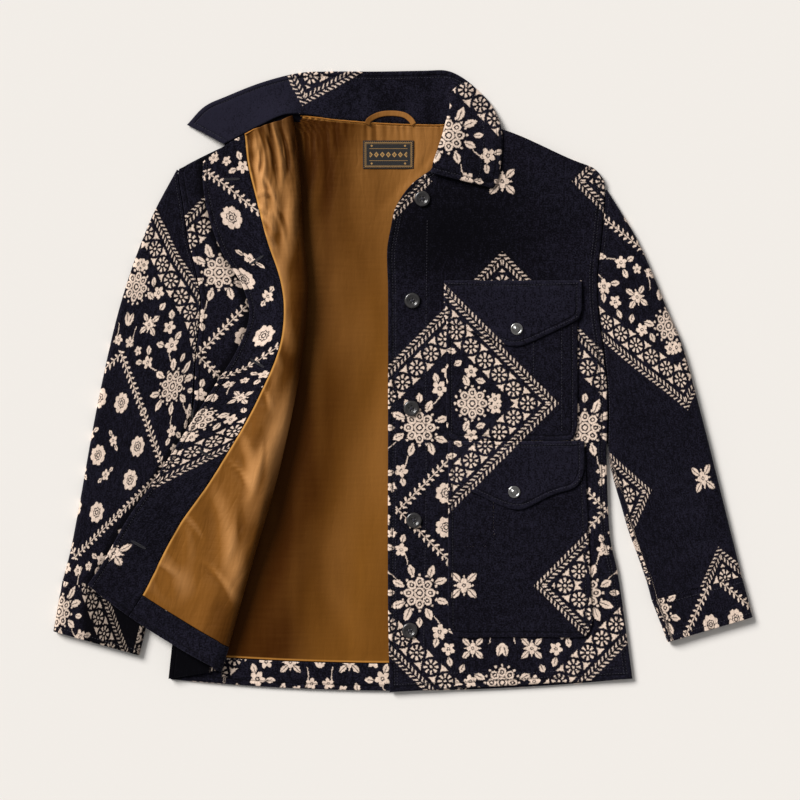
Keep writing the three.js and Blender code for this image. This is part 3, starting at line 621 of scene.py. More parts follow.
class Term:
    def __init__(self, tree, socket):
        self.tree, self.socket = tree, socket

    def use(self, operation, *others):
        node = self.tree.nodes.new("ShaderNodeMath")
        node.operation = operation
        for place, other in zip(node.inputs, (self, *others)):
            if isinstance(other, Term):
                self.tree.links.new(other.socket, place)
            else:
                place.default_value = other
        return Term(self.tree, node.outputs[0])

    def __add__(self, other):
        return self.use("ADD", other)

    def __sub__(self, other):
        return self.use("SUBTRACT", other)

    def __rsub__(self, other):
        return self.use("MULTIPLY_ADD", -1.0, float(other))

    def __mul__(self, other):
        return self.use("MULTIPLY", other)

    def above(self, other):  # never less than other
        return self.use("MAXIMUM", other)

    def below(self, other):  # never more than other
        return self.use("MINIMUM", other)

    def size(self):
        return self.use("ABSOLUTE")

    def fold(self, half):  # up to half and back again, over and over
        return self.use("PINGPONG", half)

    def between(self, low, high):  # 0 at low, 1 at high
        return (self - low).use("DIVIDE", high - low).below(1.0).above(0.0)


def join(first, *rest):  # the union of several motifs
    for other in rest:
        first = first.above(other)
    return first


def cut(first, *rest):  # what is inside all of them
    for other in rest:
        first = first.below(other)
    return first


def polar(x, y, cx, cy):  # a motif's own coordinates: distance from its middle and the angle there
    dx, dy = x - cx, y - cy
    far = (dx * dx + dy * dy).use("SQRT")
    return far, dy.use("ARCTAN2", dx)


# The print: squares with a wheat border, a band of wheels, flowers, a vine and roses. All in millimetres.
bandana = {"halfSide": 220.0, "lane": 117.0, "wheatDepth": 12.0, "wheatPitch": 5.8, "wheelBand": 27.0,
           "wheelPitch": 24.125, "vineAt": 88.0, "vinePitch": 15.6,
           "wobble": 1.3, "threads": 420, "soft": 0.5}
diagonal = math.sqrt(0.5)


def blossom(x, y, cx, cy, size, petals=5, turn=0.0):
    far, angle = polar(x, y, cx, cy)
    petal = ((angle + turn) * (petals / 2)).use("COSINE").size()
    return cut(petal * (0.46 * size) + 0.54 * size - far, join(far - 0.27 * size, 0.13 * size - far))


def rose(x, y, cx, cy, size):
    far, angle = polar(x, y, cx, cy)
    lobes = (angle * 4.0).use("SINE").size()
    outer = lobes * (0.18 * size) + 0.84 * size - far
    ring = (far - 0.5 * size + lobes * (0.1 * size)).size() - 0.055 * size
    return cut(outer, ring, (far - 0.2 * size).size() - 0.06 * size)


def leaf(x, y, cx, cy, turn, length, width, slit=0.5):
    way = math.radians(turn)
    dx, dy = x - cx, y - cy
    along = (dx * math.cos(way) + dy * math.sin(way)) * (2 / length)
    across = (dy * math.cos(way) - dx * math.sin(way)).size()
    blade = 1.0 - along * along
    body = blade * (width / 2) - across
    return cut(body, (across - slit).above(along * 3.0 - 1.0)) if slit else body


def stem(x, y, x1, y1, x2, y2, width=0.55):
    length = math.hypot(x2 - x1, y2 - y1)
    wayX, wayY = (x2 - x1) / length, (y2 - y1) / length
    dx, dy = x - (x1 + x2) / 2, y - (y1 + y2) / 2
    along = (dx * wayX + dy * wayY) * (2 / length)
    across = dy * wayX - dx * wayY + (along * along - 1.0) * (0.1 * length)
    return cut(width - across.size(), (1.0 - along.size()) * length)


def medallion(x, y, cx, cy, size):
    far, angle = polar(x, y, cx, cy)
    fan = angle.fold(math.pi / 8)
    u, v = far * fan.use("COSINE"), far * fan.use("SINE")
    heart = join(0.11 * size - far, 0.055 * size - (far - 0.25 * size).size())
    du = (u - 0.6 * size) * 0.85
    petal = (du * du + v * v).use("SQRT")
    petals = join(cut(0.225 * size - petal, petal - 0.125 * size), 0.055 * size - petal)
    small = angle.fold(math.pi / 16)
    bu, bv = far * small.use("COSINE") - 0.98 * size, far * small.use("SINE")
    beads = 0.068 * size - (bu * bu + bv * bv).use("SQRT")
    return join(heart, petals, beads)


def sprig(x, y, cx, cy, size):  # four leaves crossed behind a small flower
    dx, dy = (x - cx).size(), (y - cy).size()
    u, v = dx.above(dy), dx.below(dy)
    blade = (u - 0.64 * size) * (1 / (0.36 * size))
    leaves = (1.0 - blade * blade) * (0.19 * size) - v
    bud = ((dx + dy) * diagonal - 0.5 * size).size() + (dx - dy).size() * 1.1
    flower = blossom(x, y, cx, cy, 0.42 * size, 4, math.pi / 4)
    return join(cut(leaves, v - 0.025 * size), 0.1 * size - bud, flower)


def buildPrint():
    tree = bpy.data.node_groups.new("bandanaPrint", "ShaderNodeTree")
    tree.interface.new_socket("Cloth", in_out="INPUT", socket_type="NodeSocketVector")
    tree.interface.new_socket("Mask", in_out="OUTPUT", socket_type="NodeSocketFloat")
    given, made = tree.nodes.new("NodeGroupInput"), tree.nodes.new("NodeGroupOutput")
    b = bandana
    half, pitch = b["halfSide"], b["halfSide"] * 2 + b["lane"]
    # threads make every outline slightly uneven
    noise = tree.nodes.new("ShaderNodeTexNoise")
    noise.noise_dimensions = "2D"
    noise.inputs["Scale"].default_value = b["threads"]
    noise.inputs["Detail"].default_value = 1.5
    tree.links.new(given.outputs[0], noise.inputs["Vector"])
    shake = tree.nodes.new("ShaderNodeSeparateColor")
    tree.links.new(noise.outputs["Color"], shake.inputs[0])
    split = tree.nodes.new("ShaderNodeSeparateXYZ")
    tree.links.new(given.outputs[0], split.inputs[0])
    wobble = b["wobble"] * 2
    px = Term(tree, split.outputs[0]) * 1000 + (Term(tree, shake.outputs[0]) - 0.5) * wobble
    py = Term(tree, split.outputs[1]) * 1000 + (Term(tree, shake.outputs[1]) - 0.5) * wobble
    # folded into one eighth of one square: a runs out to its side, c along it
    u = ((px + py) * diagonal).fold(pitch / 2)
    v = ((px - py) * diagonal).fold(pitch / 2)
    a, c = u.above(v), u.below(v)

    # wheat border
    row = (a - (half - b["wheatDepth"] / 2)).size()
    wheat = cut(((c + row * 0.8).fold(b["wheatPitch"] / 2) - 1.95) * 0.75, 5.2 - row, row - 1.1)
    # band of wheels between concave triangles
    t = (a - (half - b["wheelBand"])).size()
    w = c.fold(b["wheelPitch"] / 2)
    far = (t * t + w * w).use("SQRT")
    spoke = t.use("ARCTAN2", w).fold(math.pi / 8) * far
    wheel = join(1.5 - far, cut(far * 0.22 - spoke - 0.3, 8.9 - far, far - 4.2))
    beside = (w - b["wheelPitch"] / 2).size()
    spandrel = cut(far - 12.4, 11.2 - t, t * 0.7 - 2.2 - beside)
    # vine round the middle
    rise = (a - b["vineAt"]).size()
    lean = (c + rise * 0.55).fold(b["vinePitch"] / 2)
    blade = (rise - 3.1) * (1 / 2.7)
    leaves = join((1.0 - blade * blade) * 1.55 - (lean - 3.9).size(), 1.4 - rise - (lean - 7.8).size())
    vine = cut(join(0.5 - rise, leaves), (b["vineAt"] + 4.0) - c)

    motifs = [
        wheat, wheel, spandrel, vine,
        medallion(a, c, 140, 0, 22),
        leaf(a, c, 168, 8, 24, 18, 9), leaf(a, c, 112, 8, 152, 16, 8), leaf(a, c, 150, 26, 70, 15, 8.5),
        leaf(a, c, 128, 26, 118, 15, 8), leaf(a, c, 165, 25, 40, 12, 7),
        stem(a, c, 148, 32, 156, 56), blossom(a, c, 156, 50, 9.5), leaf(a, c, 168, 56, 30, 12, 7),
        leaf(a, c, 144, 60, 130, 12, 7), blossom(a, c, 163, 72, 8, 5, 0.6), leaf(a, c, 173, 84, 60, 12, 7),
        stem(a, c, 126, 34, 118, 58), blossom(a, c, 119, 52, 8), leaf(a, c, 127, 64, 60, 12, 7),
        leaf(a, c, 108, 60, 150, 11, 6.5), blossom(a, c, 113, 74, 6),
        sprig(a, c, 142, 92, 17), leaf(a, c, 168, 100, 20, 11, 7),
        medallion(a, c, 146, 146, 21), leaf(a, c, 120, 116, 210, 17, 8.5), leaf(a, c, 160, 122, 110, 14, 8),
        blossom(a, c, 172, 118, 8, 5, 0.9), leaf(a, c, 172, 134, 60, 12, 7), blossom(a, c, 169, 162, 8, 5),
        stem(a, c, 108, 84, 124, 102), blossom(a, c, 106, 92, 7, 5, 0.3),
        rose(a, c, 62, 33, 12.5), rose(a, c, 0, 0, 12.5), blossom(a, c, 30, 0, 7),
        leaf(a, c, 30, 11, 90, 9, 5), sprig(a, c, pitch / 2, pitch / 2, 21),
    ]
    mask = join(*motifs).between(-b["soft"], b["soft"])
    tree.links.new(mask.socket, made.inputs[0])
    return tree


socketNames = {"sheen": "Sheen Weight", "sheenRough": "Sheen Roughness", "sheenTint": "Sheen Tint",
               "specular": "Specular IOR Level", "specularTint": "Specular Tint", "metal": "Metallic",
               "roughness": "Roughness", "coat": "Coat Weight", "coatRough": "Coat Roughness"}


class Shading:  # one material's tree, with short calls for its nodes
    def __init__(self, name, onObject=False):
        self.material = bpy.data.materials.new(name)
        self.material.use_nodes = True
        self.tree = self.material.node_tree
        self.link, self.shader = self.tree.links.new, self.tree.nodes["Principled BSDF"]
        if onObject:
            self.uv = self.tree.nodes.new("ShaderNodeTexCoord").outputs["Object"]
        else:
            uv = self.tree.nodes.new("ShaderNodeUVMap")
            uv.uv_map = "cloth"
            self.uv = uv.outputs[0]

    def noise(self, scale, detail=2.0, stretch=None, rough=0.5):
        node = self.tree.nodes.new("ShaderNodeTexNoise")
        node.inputs["Scale"].default_value = scale
        node.inputs["Detail"].default_value = detail
        node.inputs["Roughness"].default_value = rough
        source = self.uv
        if stretch:
            mapping = self.tree.nodes.new("ShaderNodeMapping")
            mapping.inputs["Scale"].default_value = stretch
            self.link(self.uv, mapping.inputs["Vector"])
            source = mapping.outputs[0]
        self.link(source, node.inputs["Vector"])
        return Term(self.tree, node.outputs["Fac"])

    def attribute(self, name):
        node = self.tree.nodes.new("ShaderNodeAttribute")
        node.attribute_name = name
        return Term(self.tree, node.outputs["Fac"])

    def place(self):
        node = self.tree.nodes.new("ShaderNodeSeparateXYZ")
        self.link(self.uv, node.inputs[0])
        return Term(self.tree, node.outputs[0]) * 1000, Term(self.tree, node.outputs[1]) * 1000

    def mix(self, share, first, second):
        node = self.tree.nodes.new("ShaderNodeMix")
        node.data_type = "RGBA"
        self.link(share.socket, node.inputs[0])
        for socket, colour in ((node.inputs[6], first), (node.inputs[7], second)):
            if isinstance(colour, tuple):
                socket.default_value = (*colour, 1)
            else:
                self.link(colour, socket)
        return node.outputs[2]

    def scaled(self, colour, share):
        node = self.tree.nodes.new("ShaderNodeVectorMath")
        node.operation = "SCALE"
        self.link(colour, node.inputs[0])
        self.link(share.socket, node.inputs["Scale"])
        return node.outputs[0]

    def colour(self, socket):
        self.link(socket, self.shader.inputs["Base Color"])

    def rough(self, term):
        self.link(term.socket, self.shader.inputs["Roughness"])

    def bump(self, height, distance, strength=1.0):
        node = self.tree.nodes.new("ShaderNodeBump")
        node.inputs["Strength"].default_value = strength
        node.inputs["Distance"].default_value = distance
        self.link(height.socket, node.inputs["Height"])
        self.link(node.outputs[0], self.shader.inputs["Normal"])

    def constants(self, **values):
        for key, value in values.items():
            socket = self.shader.inputs[socketNames[key]]
            socket.default_value = (*value, 1) if isinstance(value, tuple) else value


printGroup = buildPrint()

woolLook = {"navy": (0.0020, 0.0016, 0.0034), "navyNap": (0.0145, 0.0134, 0.0248),
            "cream": (0.93, 0.74, 0.61), "creamShade": (0.61, 0.47, 0.385),
            "grain": 520, "nap": 210, "cloud": 14, "twill": 1.9, "stitchAt": 6.0}


def buildWool(name, printed=True):
    look, cloth = woolLook, Shading(name)
    grain = cloth.noise(look["grain"], 3.0, rough=0.7)
    nap = cloth.noise(look["nap"], 3.0, (1.0, 0.55, 1.0))
    wide = cloth.noise(look["cloud"], 2.0)
    x, y = cloth.place()
    twill = ((x + y * 0.8) * (math.tau / look["twill"])).use("SINE") * 0.06
    edge = cloth.attribute("edge")
    groove = (1.0 - (edge - look["stitchAt"]).size() * 0.75).above(0.0)
    worn = (1.0 - edge * 0.6).above(0.0)
    # painted shade in the stitch grooves, and painted light and shade from the fold attribute
    share = (grain * 4.4 - 1.85 + (nap - 0.5) * 1.7 + (wide - 0.5) * 0.7 + twill + worn * 0.3 - groove * 0.4
             + cloth.attribute("fold"))
    navy = cloth.mix(share.between(0.0, 1.0), look["navy"], look["navyNap"])
    result = navy
    if printed:
        group = cloth.tree.nodes.new("ShaderNodeGroup")
        group.node_tree = printGroup
        cloth.link(cloth.uv, group.inputs[0])
        mask = Term(cloth.tree, group.outputs[0])
        thread = (grain + (nap - 0.5) * 0.6).between(0.25, 0.62)
        cream = cloth.mix(thread, look["creamShade"], look["cream"])
        # the print is painted darker in the stitch grooves too, as shade
        shown = mask * (grain * 3.0 + nap * 1.5 - 1.1).between(0.0, 0.35) * (1.0 - groove * 0.3)
        result = cloth.mix(shown, navy, cream)
    # painted shade: the colour darkens where the fold attribute falls below 0
    cloth.colour(cloth.scaled(result, cloth.attribute("fold").between(-1.0, 0.0) * 0.7 + 0.3))
    cloth.constants(sheen=0.13, sheenRough=0.45, sheenTint=(0.66, 0.66, 0.88), specular=0.05, roughness=0.95)
    cloth.bump(grain * 0.6 + nap * 0.8 + twill - groove * 0.9, 0.0009, 0.9)
    return cloth.material


# Satin looks: a base colour, a colour for painted highlights, a darker colour for uneven tone and painted
# shade, the seam's colour, and the weights of the painted fold light and shade, the painted light at the
# neck, the painted shine highlights and the pulls
satinLook = {"base": (0.215, 0.083, 0.012), "paintedHighlightColour": (0.350, 0.155, 0.045),
             "deepToneAndPaintedShade": (0.048, 0.0125, 0.0009), "seam": (0.50, 0.22, 0.045),
             "fold": 0.10, "paintedHighlightShare": 0.50, "paintedShine": 0.5, "pulls": 0.5}
# The opened front's lining: the same satin with brighter painted highlights and stronger painted fold shade,
# for the light that the opened flap catches
openSatinLook = {"base": (0.215, 0.083, 0.014), "paintedHighlightColour": (0.58, 0.285, 0.105),
                 "deepToneAndPaintedShade": (0.048, 0.0135, 0.0012), "seam": (0.56, 0.27, 0.065),
                 "fold": 0.24, "paintedHighlightShare": 0.10, "paintedShine": 0.7, "pulls": 1.3}
edgingSatinLook = {**satinLook, "base": (0.42, 0.17, 0.035), "paintedHighlightColour": (0.56, 0.27, 0.07),
                   "deepToneAndPaintedShade": (0.25, 0.085, 0.014)}


def buildSatin(name, look, foldAt=None, rollShadeReach=None):  # painted shade beside the fold, painted light towards the neck
    cloth = Shading(name)
    streak = cloth.noise(90, 2.0, (1.0, 0.12, 1.0))
    slub = cloth.noise(230, 2.0, (0.10, 1.0, 1.0))
    cloud = cloth.noise(12, 1.5, (1.0, 0.4, 1.0))
    paintedShine = cloth.noise(9, 1.0, (1.0, 0.5, 1.0))
    thread = cloth.noise(1400, 1.0, (1.0, 0.15, 1.0))
    edge, fold = cloth.attribute("edge"), cloth.attribute("fold")
    seam = (1.0 - (edge - 1.2).size() * 0.55).above(0.0)
    x, y = cloth.place()
    share = cloud * 2.2 + streak * 0.4 + slub * 0.3 - 0.95
    # on the back lining, the roll's shadow is painted: darkest beside the fold, fading over about 90 mm
    if foldAt is not None:
        above = y - 40.0
        beside = (x - foldAt - above.below(0.0) * 0.15 - above.between(0.0, 120.0) * 10
                  + (cloud - 0.5) * 50)
        share = share * 0.35 + beside.between(4.0, 92.0) * 0.85 - 0.12
    # on the opened lining, painted shade near the roll; the colour is also lighter lower down and darker
    # towards the top
    if rollShadeReach is not None:
        share = (share * 0.45 + (x + (cloud - 0.5) * 40).between(*rollShadeReach) * 0.62
                 + (y * -1.0).between(60.0, 220.0) * 0.24 - y.between(170.0, 270.0) * 0.26)
    # the darker colour comes in with uneven tone, and with painted shade in the troughs and beside the roll
    base = cloth.mix((share + fold * look["fold"]).between(0.0, 1.0), look["deepToneAndPaintedShade"], look["base"])
    # painted light: high lightens the lining towards the neck, and the next lines paint highlights from
    # noise, that light and the fold crests, fewer in painted shade
    high = (y - 90.0).between(0.0, 190.0) * share.between(0.2, 0.8)
    paintedHighlightShare = (paintedShine * 2.4 - 1.1).between(0.0, 1.0) * look["paintedShine"] + high * look["paintedHighlightShare"] + fold * look["fold"]
    paintedHighlightShare = paintedHighlightShare * (share.between(0.0, 0.5) * 0.85 + 0.15)
    result = cloth.mix(seam, cloth.mix(paintedHighlightShare.between(0.0, 1.0), base, look["paintedHighlightColour"]), look["seam"])
    cloth.colour(result)
    cloth.rough((thread - 0.5) * 0.2 + 0.46)
    cloth.constants(sheen=0.02, sheenRough=0.3, sheenTint=(1.0, 0.6, 0.25), specular=0.16,
                    specularTint=(1.0, 0.62, 0.30))
    pulls = cloth.noise(34, 3.0, (1.0, 0.30, 1.0), 0.55)
    near = ((y - 130.0).between(0.0, 130.0) * 0.7 + 0.3) * look["pulls"]
    pull = (pulls - 0.5).size() * near * 5.0
    cloth.bump(thread * 0.06 + streak * 0.12 + slub * 0.10 + pull, 0.0025, 0.75)
    return cloth.material


wool = buildWool("printedWool")
plainWool = buildWool("plainWool", printed=False)
satin = buildSatin("liningSatin", satinLook, foldAt=-99)
openSatin = buildSatin("openLiningSatin", openSatinLook, rollShadeReach=(10.0, 46.0))
cordSatin = buildSatin("edgingSatin", edgingSatinLook)


def buildThread(name, dark, pale):
    cloth = Shading(name, onObject=True)
    twist = cloth.noise(1800, 2.0)
    cloth.colour(cloth.mix(twist, dark, pale))
    cloth.rough(twist * 0.3 + 0.5)
    cloth.bump(twist, 0.0002, 0.6)
    cloth.constants(sheen=0.2, specular=0.3)
    return cloth.material


navyThread = buildThread("navyThread", (0.006, 0.005, 0.010), (0.040, 0.037, 0.058))
greyThread = buildThread("buttonholeThread", (0.005, 0.0045, 0.007), (0.030, 0.028, 0.040))
goldThread = buildThread("goldThread", (0.20, 0.085, 0.015), (0.42, 0.20, 0.045))


hornLook = {"dark": (0.006, 0.0055, 0.006), "pale": (0.042, 0.038, 0.040), "cloud": 220, "scratch": 2600}


def buildHorn(name):  # polished dark button with faint cloudy grain
    look, cloth = hornLook, Shading(name, onObject=True)
    cloud = cloth.noise(look["cloud"], 4.0, rough=0.6)
    scratch = cloth.noise(look["scratch"], 2.0)
    cloth.colour(cloth.mix((cloud * 1.8 - 0.5).between(0.0, 1.0), look["dark"], look["pale"]))
    cloth.rough(scratch * 0.14 + 0.22)
    cloth.constants(specular=0.6, coat=0.7, coatRough=0.2)
    cloth.bump(scratch * 0.4 + cloud, 0.0001, 0.3)
    return cloth.material


nickelLook = {"dark": (0.20, 0.195, 0.19), "pale": (0.55, 0.54, 0.53), "cloud": 300, "scratch": 3000}


def buildNickel(name):
    look, cloth = nickelLook, Shading(name, onObject=True)
    cloud, scratch = cloth.noise(look["cloud"], 3.0), cloth.noise(look["scratch"], 2.0)
    cloth.colour(cloth.mix(cloud, look["dark"], look["pale"]))
    cloth.rough(scratch * 0.16 + cloud * 0.14 + 0.10)
    cloth.constants(metal=1.0)
    cloth.bump(scratch, 0.00008, 0.4)
    return cloth.material


labelLook = {"corner": (-45, 253), "wide": 61.0, "high": 34.0, "frame": 2.6, "sewnAt": 1.4, "thread": 0.42,
             "ground": (0.0095, 0.0092, 0.0100), "groundPale": (0.027, 0.025, 0.026),
             "gold": (0.52, 0.30, 0.10)}


def buildLabelWeave(name):  # charcoal damask patch: a frame, two rules and a row of lozenges
    look, cloth = labelLook, Shading(name)
    x, y = cloth.place()
    across, down = ((way * (math.tau / look["thread"])).use("SINE") for way in (x, y))
    weave = (across * down + 1.0) * 0.5
    fine = cloth.noise(1600, 2.0)
    dx, dy = (x - look["wide"] / 2).size(), (y - look["high"] / 2).size()
    outer = (dx - look["wide"] / 2).above(dy - look["high"] / 2) * -1.0
    frame = 0.30 - (outer - look["frame"]).size()
    inner = 0.16 - (outer - look["frame"] - 1.3).size()
    rules = cut(0.22 - (dy - 7.2).size(), 23.0 - dx)
    row = dx.fold(3.6)
    lozenge = cut(2.9 - row - dy * 0.85, 22.5 - dx)
    heart = 1.3 - row - dy * 0.85
    side = 1.5 - (dx - 20.0).size() - (dy - 10.6).size()
    gold = join(frame, inner, rules, cut(lozenge, heart * -1.0), cut(0.55 - row - dy, 22.5 - dx), side)
    ground = cloth.mix((weave * 0.6 + fine * 0.6).between(0.2, 1.0), look["ground"], look["groundPale"])
    shown = gold.between(-0.12, 0.12) * (fine * 1.2 + 0.25).between(0.0, 1.0)
    cloth.colour(cloth.mix(shown, ground, look["gold"]))
    cloth.rough(weave * 0.2 + 0.55)
    cloth.constants(sheen=0.1, specular=0.2)
    cloth.bump(weave * 0.6 + gold.between(-0.15, 0.15) * 0.8, 0.0002, 0.7)
    return cloth.material


labelWeave = buildLabelWeave("labelWeave")

print("surfaces ready")


# Pieces. On the printed cloth, centre is where a square has its middle; turn is in degrees.


def rowLengths(point, rows, first, last):
    a, b = point(rows, np.full(rows.shape, float(first))), point(rows, np.full(rows.shape, float(last)))
    return np.linalg.norm((a - b)[..., :2], axis=-1)


def buildPanel(name, point, lastRow, rowLength, spacing, wall, material, uvOf, firstRow=0.0,
               ends=(sewnSteps, sewnSteps), sides=(sewnSteps, sewnSteps), split=None, **more):
    rows = firstRow + (lastRow - firstRow) * spread(rowLength, spacing[1], *ends)[0]
    columns = spread(rowLengths(point, rows, 0, 1), spacing[0], *sides)
    if split:
        doubled = np.broadcast_to([split - 0.0004, split + 0.0004], (len(columns), 2))
        columns = np.sort(np.concatenate([columns, doubled], axis=1), axis=1)
    return buildCloth(name, point, rows, columns, wall, material, uvOf, **more)


backTopRow = 13
hemRow = 31 / 49  # where the back's hem turn-up ends
back = buildPanel("jacketBack", backPoint(backHeight, 2), backTopRow, 674, (6, 6), backWool, wool,
                  clothPlace({"centre": (-60, -20)}), sewn="start end first", raw="last")


def backLiningRise(x, y):
    return (liningFolds(x, y) + 0.25 * ripple(x, y, 80, 11)) * smooth((x + 245) / 30)


liningCreases = table(creaseColumns, [
    [-100, 300, -104, 200, 14, 1.2], [-84, 298, -78, 180, 18, 0.9], [-112, 250, -110, 60, 20, 0.9],
    [-60, 292, -50, 120, 26, 0.5], [-104, 60, -122, -160, 26, 0.8], [-30, 240, -36, 20, 40, 0.4],
    [30, 290, -20, 190, 16, 0.8], [46, 276, 0, 220, 10, 0.9], [-30, -40, -26, -260, 40, 0.5],
    [-120, -120, -150, -300, 26, 0.8], [-70, 40, -84, -280, 36, 0.5], [-16, 180, -24, -60, 26, 0.5],
    [-90, -240, -40, -330, 30, 0.4],
])


def liningGathers(x, y):
    uneven = 0.5 + 0.5 * np.sin(x / 9.1 + 1.3) * np.sin(x / 23.0 + 0.4)
    reach = (y - 262 - 22 * np.sin(x / 6.3) * np.sin(x / 15.1)) / 40
    gathers = 0.5 * uneven * np.sin(x / 1.5 + 1.9 * np.sin(x / 8.3) + 0.02 * y) * smooth(reach)
    bunch = np.exp(-((x + 112) / 20) ** 2 - ((y - 306) / 16) ** 2)
    return gathers + 1.1 * bunch * np.sin((x + 112) * 0.9 + (y - 306) * 0.35 + 1.5 * np.sin(y / 6))


def liningFolds(x, y):
    pleat = 0.9 * np.exp(-((y + 343 + 2 * np.sin(x / 22)) / 3) ** 2)
    return creaseRise(x, y, liningCreases) + liningGathers(x, y) + pleat


# the back lining's folds and gathers are painted too: lighter on crests and darker in troughs, as light and
# shade
backLining = buildPanel("backLining", backPoint(backLiningHeight, 12), backTopRow, 640, (2.6, 3.6),
                        liningCloth, satin, clothPlace({"centre": (0, 0)}),
                        firstRow=hemRow + 0.02, sewn="first last", raw="start end",
                        sides=(rawSteps, rawSteps), rise=backLiningRise, stitchAt=2.2,
                        tone=evened(lambda x, y: 0.4 * liningFolds(x, y) + 2 * liningGathers(x, y)),
                        sink=0.3, rim=0.6, pucker=0.2)
hemPrint, hemPlain = clothPlace({"centre": (-96.6, -504)}), clothPlace({"centre": (-543, -448)})
hemBareTo = -214  # left of it, in the opening's shadow, the turned-up cloth shows its plain side
hemEnds = backPoint(0, 12)(np.array([0.3, 0.3]), np.array([0.0, 1.0]))[:, 0]
hemSplit = float((hemBareTo - hemEnds[0]) / (hemEnds[1] - hemEnds[0]))


def hemUv(middle, row, column):
    bare = middle[..., :1] < hemBareTo
    return np.where(bare, hemPlain(middle, row, column), hemPrint(middle, row, column))


backHem = buildPanel("backHem", backPoint(backWool + gap + hemWool / 2, 12), hemRow, 31, (5, 4),
                     hemWool, wool, hemUv, split=hemSplit, sewn="first", raw="start end last",
                     ends=(sewnSteps, rawSteps), sides=(rawSteps, rawSteps), rim=0.7, sink=0.3)

# its chest is painted darker under the collar, as the collar's shadow
leftFront = buildPanel("leftFront", leftFrontPoint, 15, 600, (3.2, 3.4), frontWool, wool,
                       clothPlace({"centre": (121.8, -156)}), sewn="start end first", raw="last",
                       tone=lambda x, y: -0.5 * np.exp(-((x - 66) / 90) ** 2 - ((y - 180) / 62) ** 2))


def columnAt(rows, x):  # the column of a pocket or flap over a place along its lower line
    fine = np.linspace(0, len(rows["lowX"]) - 1, 400)
    return np.interp(x, np.maximum.accumulate(valueAt(rows, "lowX", fine)), fine)


# pale lightens a patch's colour with painted light, as on the flaps that catch the light
def patch(name, rows, lift, wall, place, corner=None, pale=0.0):
    first, last = rows["lowX"][0], rows["lowX"][-1]
    keys = columnAt(rows, first + (last - first) * spread(last - first, 3)[0])
    down = spread(np.maximum(rows["topY"] - rows["lowY"], 1).max(), 3)[0]
    uvOf = clothPlace(place)
    if corner:  # its upper left continues another print; the cut between the two runs where both are plain
        key, row = columnAt(rows, corner["x"]), corner["share"]
        keys = np.sort(np.concatenate([keys, [key - 0.0004, key + 0.0004]]))
        down = np.sort(np.concatenate([down, [row - 0.0001, row + 0.0001]]))
        whole, other = uvOf, clothPlace(corner["print"])

        def uvOf(middle, atRow, atColumn):
            inCorner = ((atColumn < key) & (atRow > row))[..., None]
            return np.where(inCorner, other(middle, atRow, atColumn), whole(middle, atRow, atColumn))
    return buildCloth(name, patchPoint(rows, lift), down, keys[None], wall, wool, uvOf,
                      sewn="start end first last", pucker=0.2, tone=lambda x, y: pale + 0 * x)


def pocketLift(down):
    return gap + 0.1 + pocketWool / 2


def flapLift(down):
    return gap + 0.1 + flapWool / 2 + (pocketWool + gap) * smooth(down / flapSlope)


chestPrint = {"centre": (-120.6, -28)}
chestPocket = patch("chestPocket", chestPocketRows, pocketLift, pocketWool, chestPrint)
chestFlap = patch("chestFlap", chestFlapRows, flapLift, flapWool, {"centre": (-121, -22)}, pale=0.22)
lowerPocket = patch("lowerPocket", lowerPocketRows, pocketLift, pocketWool, {"centre": (469.8, -246)},
                    {"x": 112, "share": 0.5, "print": chestPrint})
lowerFlap = patch("lowerFlap", lowerFlapRows, flapLift, flapWool, chestPrint, pale=0.22)

# Right front: its wool runs from the side, round the fold, to the free edge


def alongRow(rows, columns):  # distance along each row from the fold's middle
    fine = np.linspace(0, 3.0, 121)
    walk = rightFrontPoint(rows[:, :1], fine[None])
    steps = np.linalg.norm(np.diff(walk, axis=1), axis=-1)
    run = np.concatenate([np.zeros((len(walk), 1)), np.cumsum(steps, 1)], 1)
    run = run - run[:, 60:61]
    return np.stack([np.interp(columns[i], fine, run[i]) for i in range(len(rows))])


plainCorner = -306  # below it the under layer is plain, beside the side seam


def foldPlace(place):
    flat, bare = clothPlace(place), clothPlace({"centre": (-538, -431)})

    def uvOf(middle, row, column):
        along = alongRow(row, column)
        fromFold = valueAt(foldRows, "foldX", row) + along
        printed = flat(points(fromFold, middle[..., 1], 0 * along), row, column)
        corner = ((column < 1) & (middle[..., 1] < plainCorner))[..., None]
        return np.where(corner, bare(middle, row, column), printed)
    return uvOf


facingCreases = table(creaseColumns, [
    [-196, 236, -226, 160, 16, 0.7], [-180, 150, -204, 120, 16, 0.6], [-170, 120, -190, 80, 14, 0.7],
    [-176, 40, -210, -4, 18, 0.8], [-190, -20, -240, -60, 18, 0.7], [-240, -96, -262, -70, 16, 0.6],
    [-300, -170, -270, -120, 20, 0.5], [-330, -214, -290, -186, 16, 0.5],
])

onFront = foldedWool / 2 + gap  # where the facing, lining and turn-up lie on the right front
foldRowCount = 13.0
bodyRows = spread(660, 3.6)[0] * foldRowCount


def foldGrid(rows, parts):  # columns joined from parts; each is (first, last, shares from 0 to 1)
    grid = []
    for first, last, shares in parts:
        a = first(rows) if callable(first) else np.full(rows.shape, float(first))
        b = last(rows) if callable(last) else np.full(rows.shape, float(last))
        grid.append(a[:, None] + (b - a)[:, None] * shares)
    return np.concatenate([grid[0], *(part[:, 1:] for part in grid[1:])], axis=1)


def besideEdge(x, y):  # shade on the layers below, just outside the right front's free edge
    away = np.interp(-y, -foldRows["edgeY"], foldRows["edgeX"]) - x
    return -0.75 * np.exp(-(np.maximum(away, 0) / 6.5) ** 2)


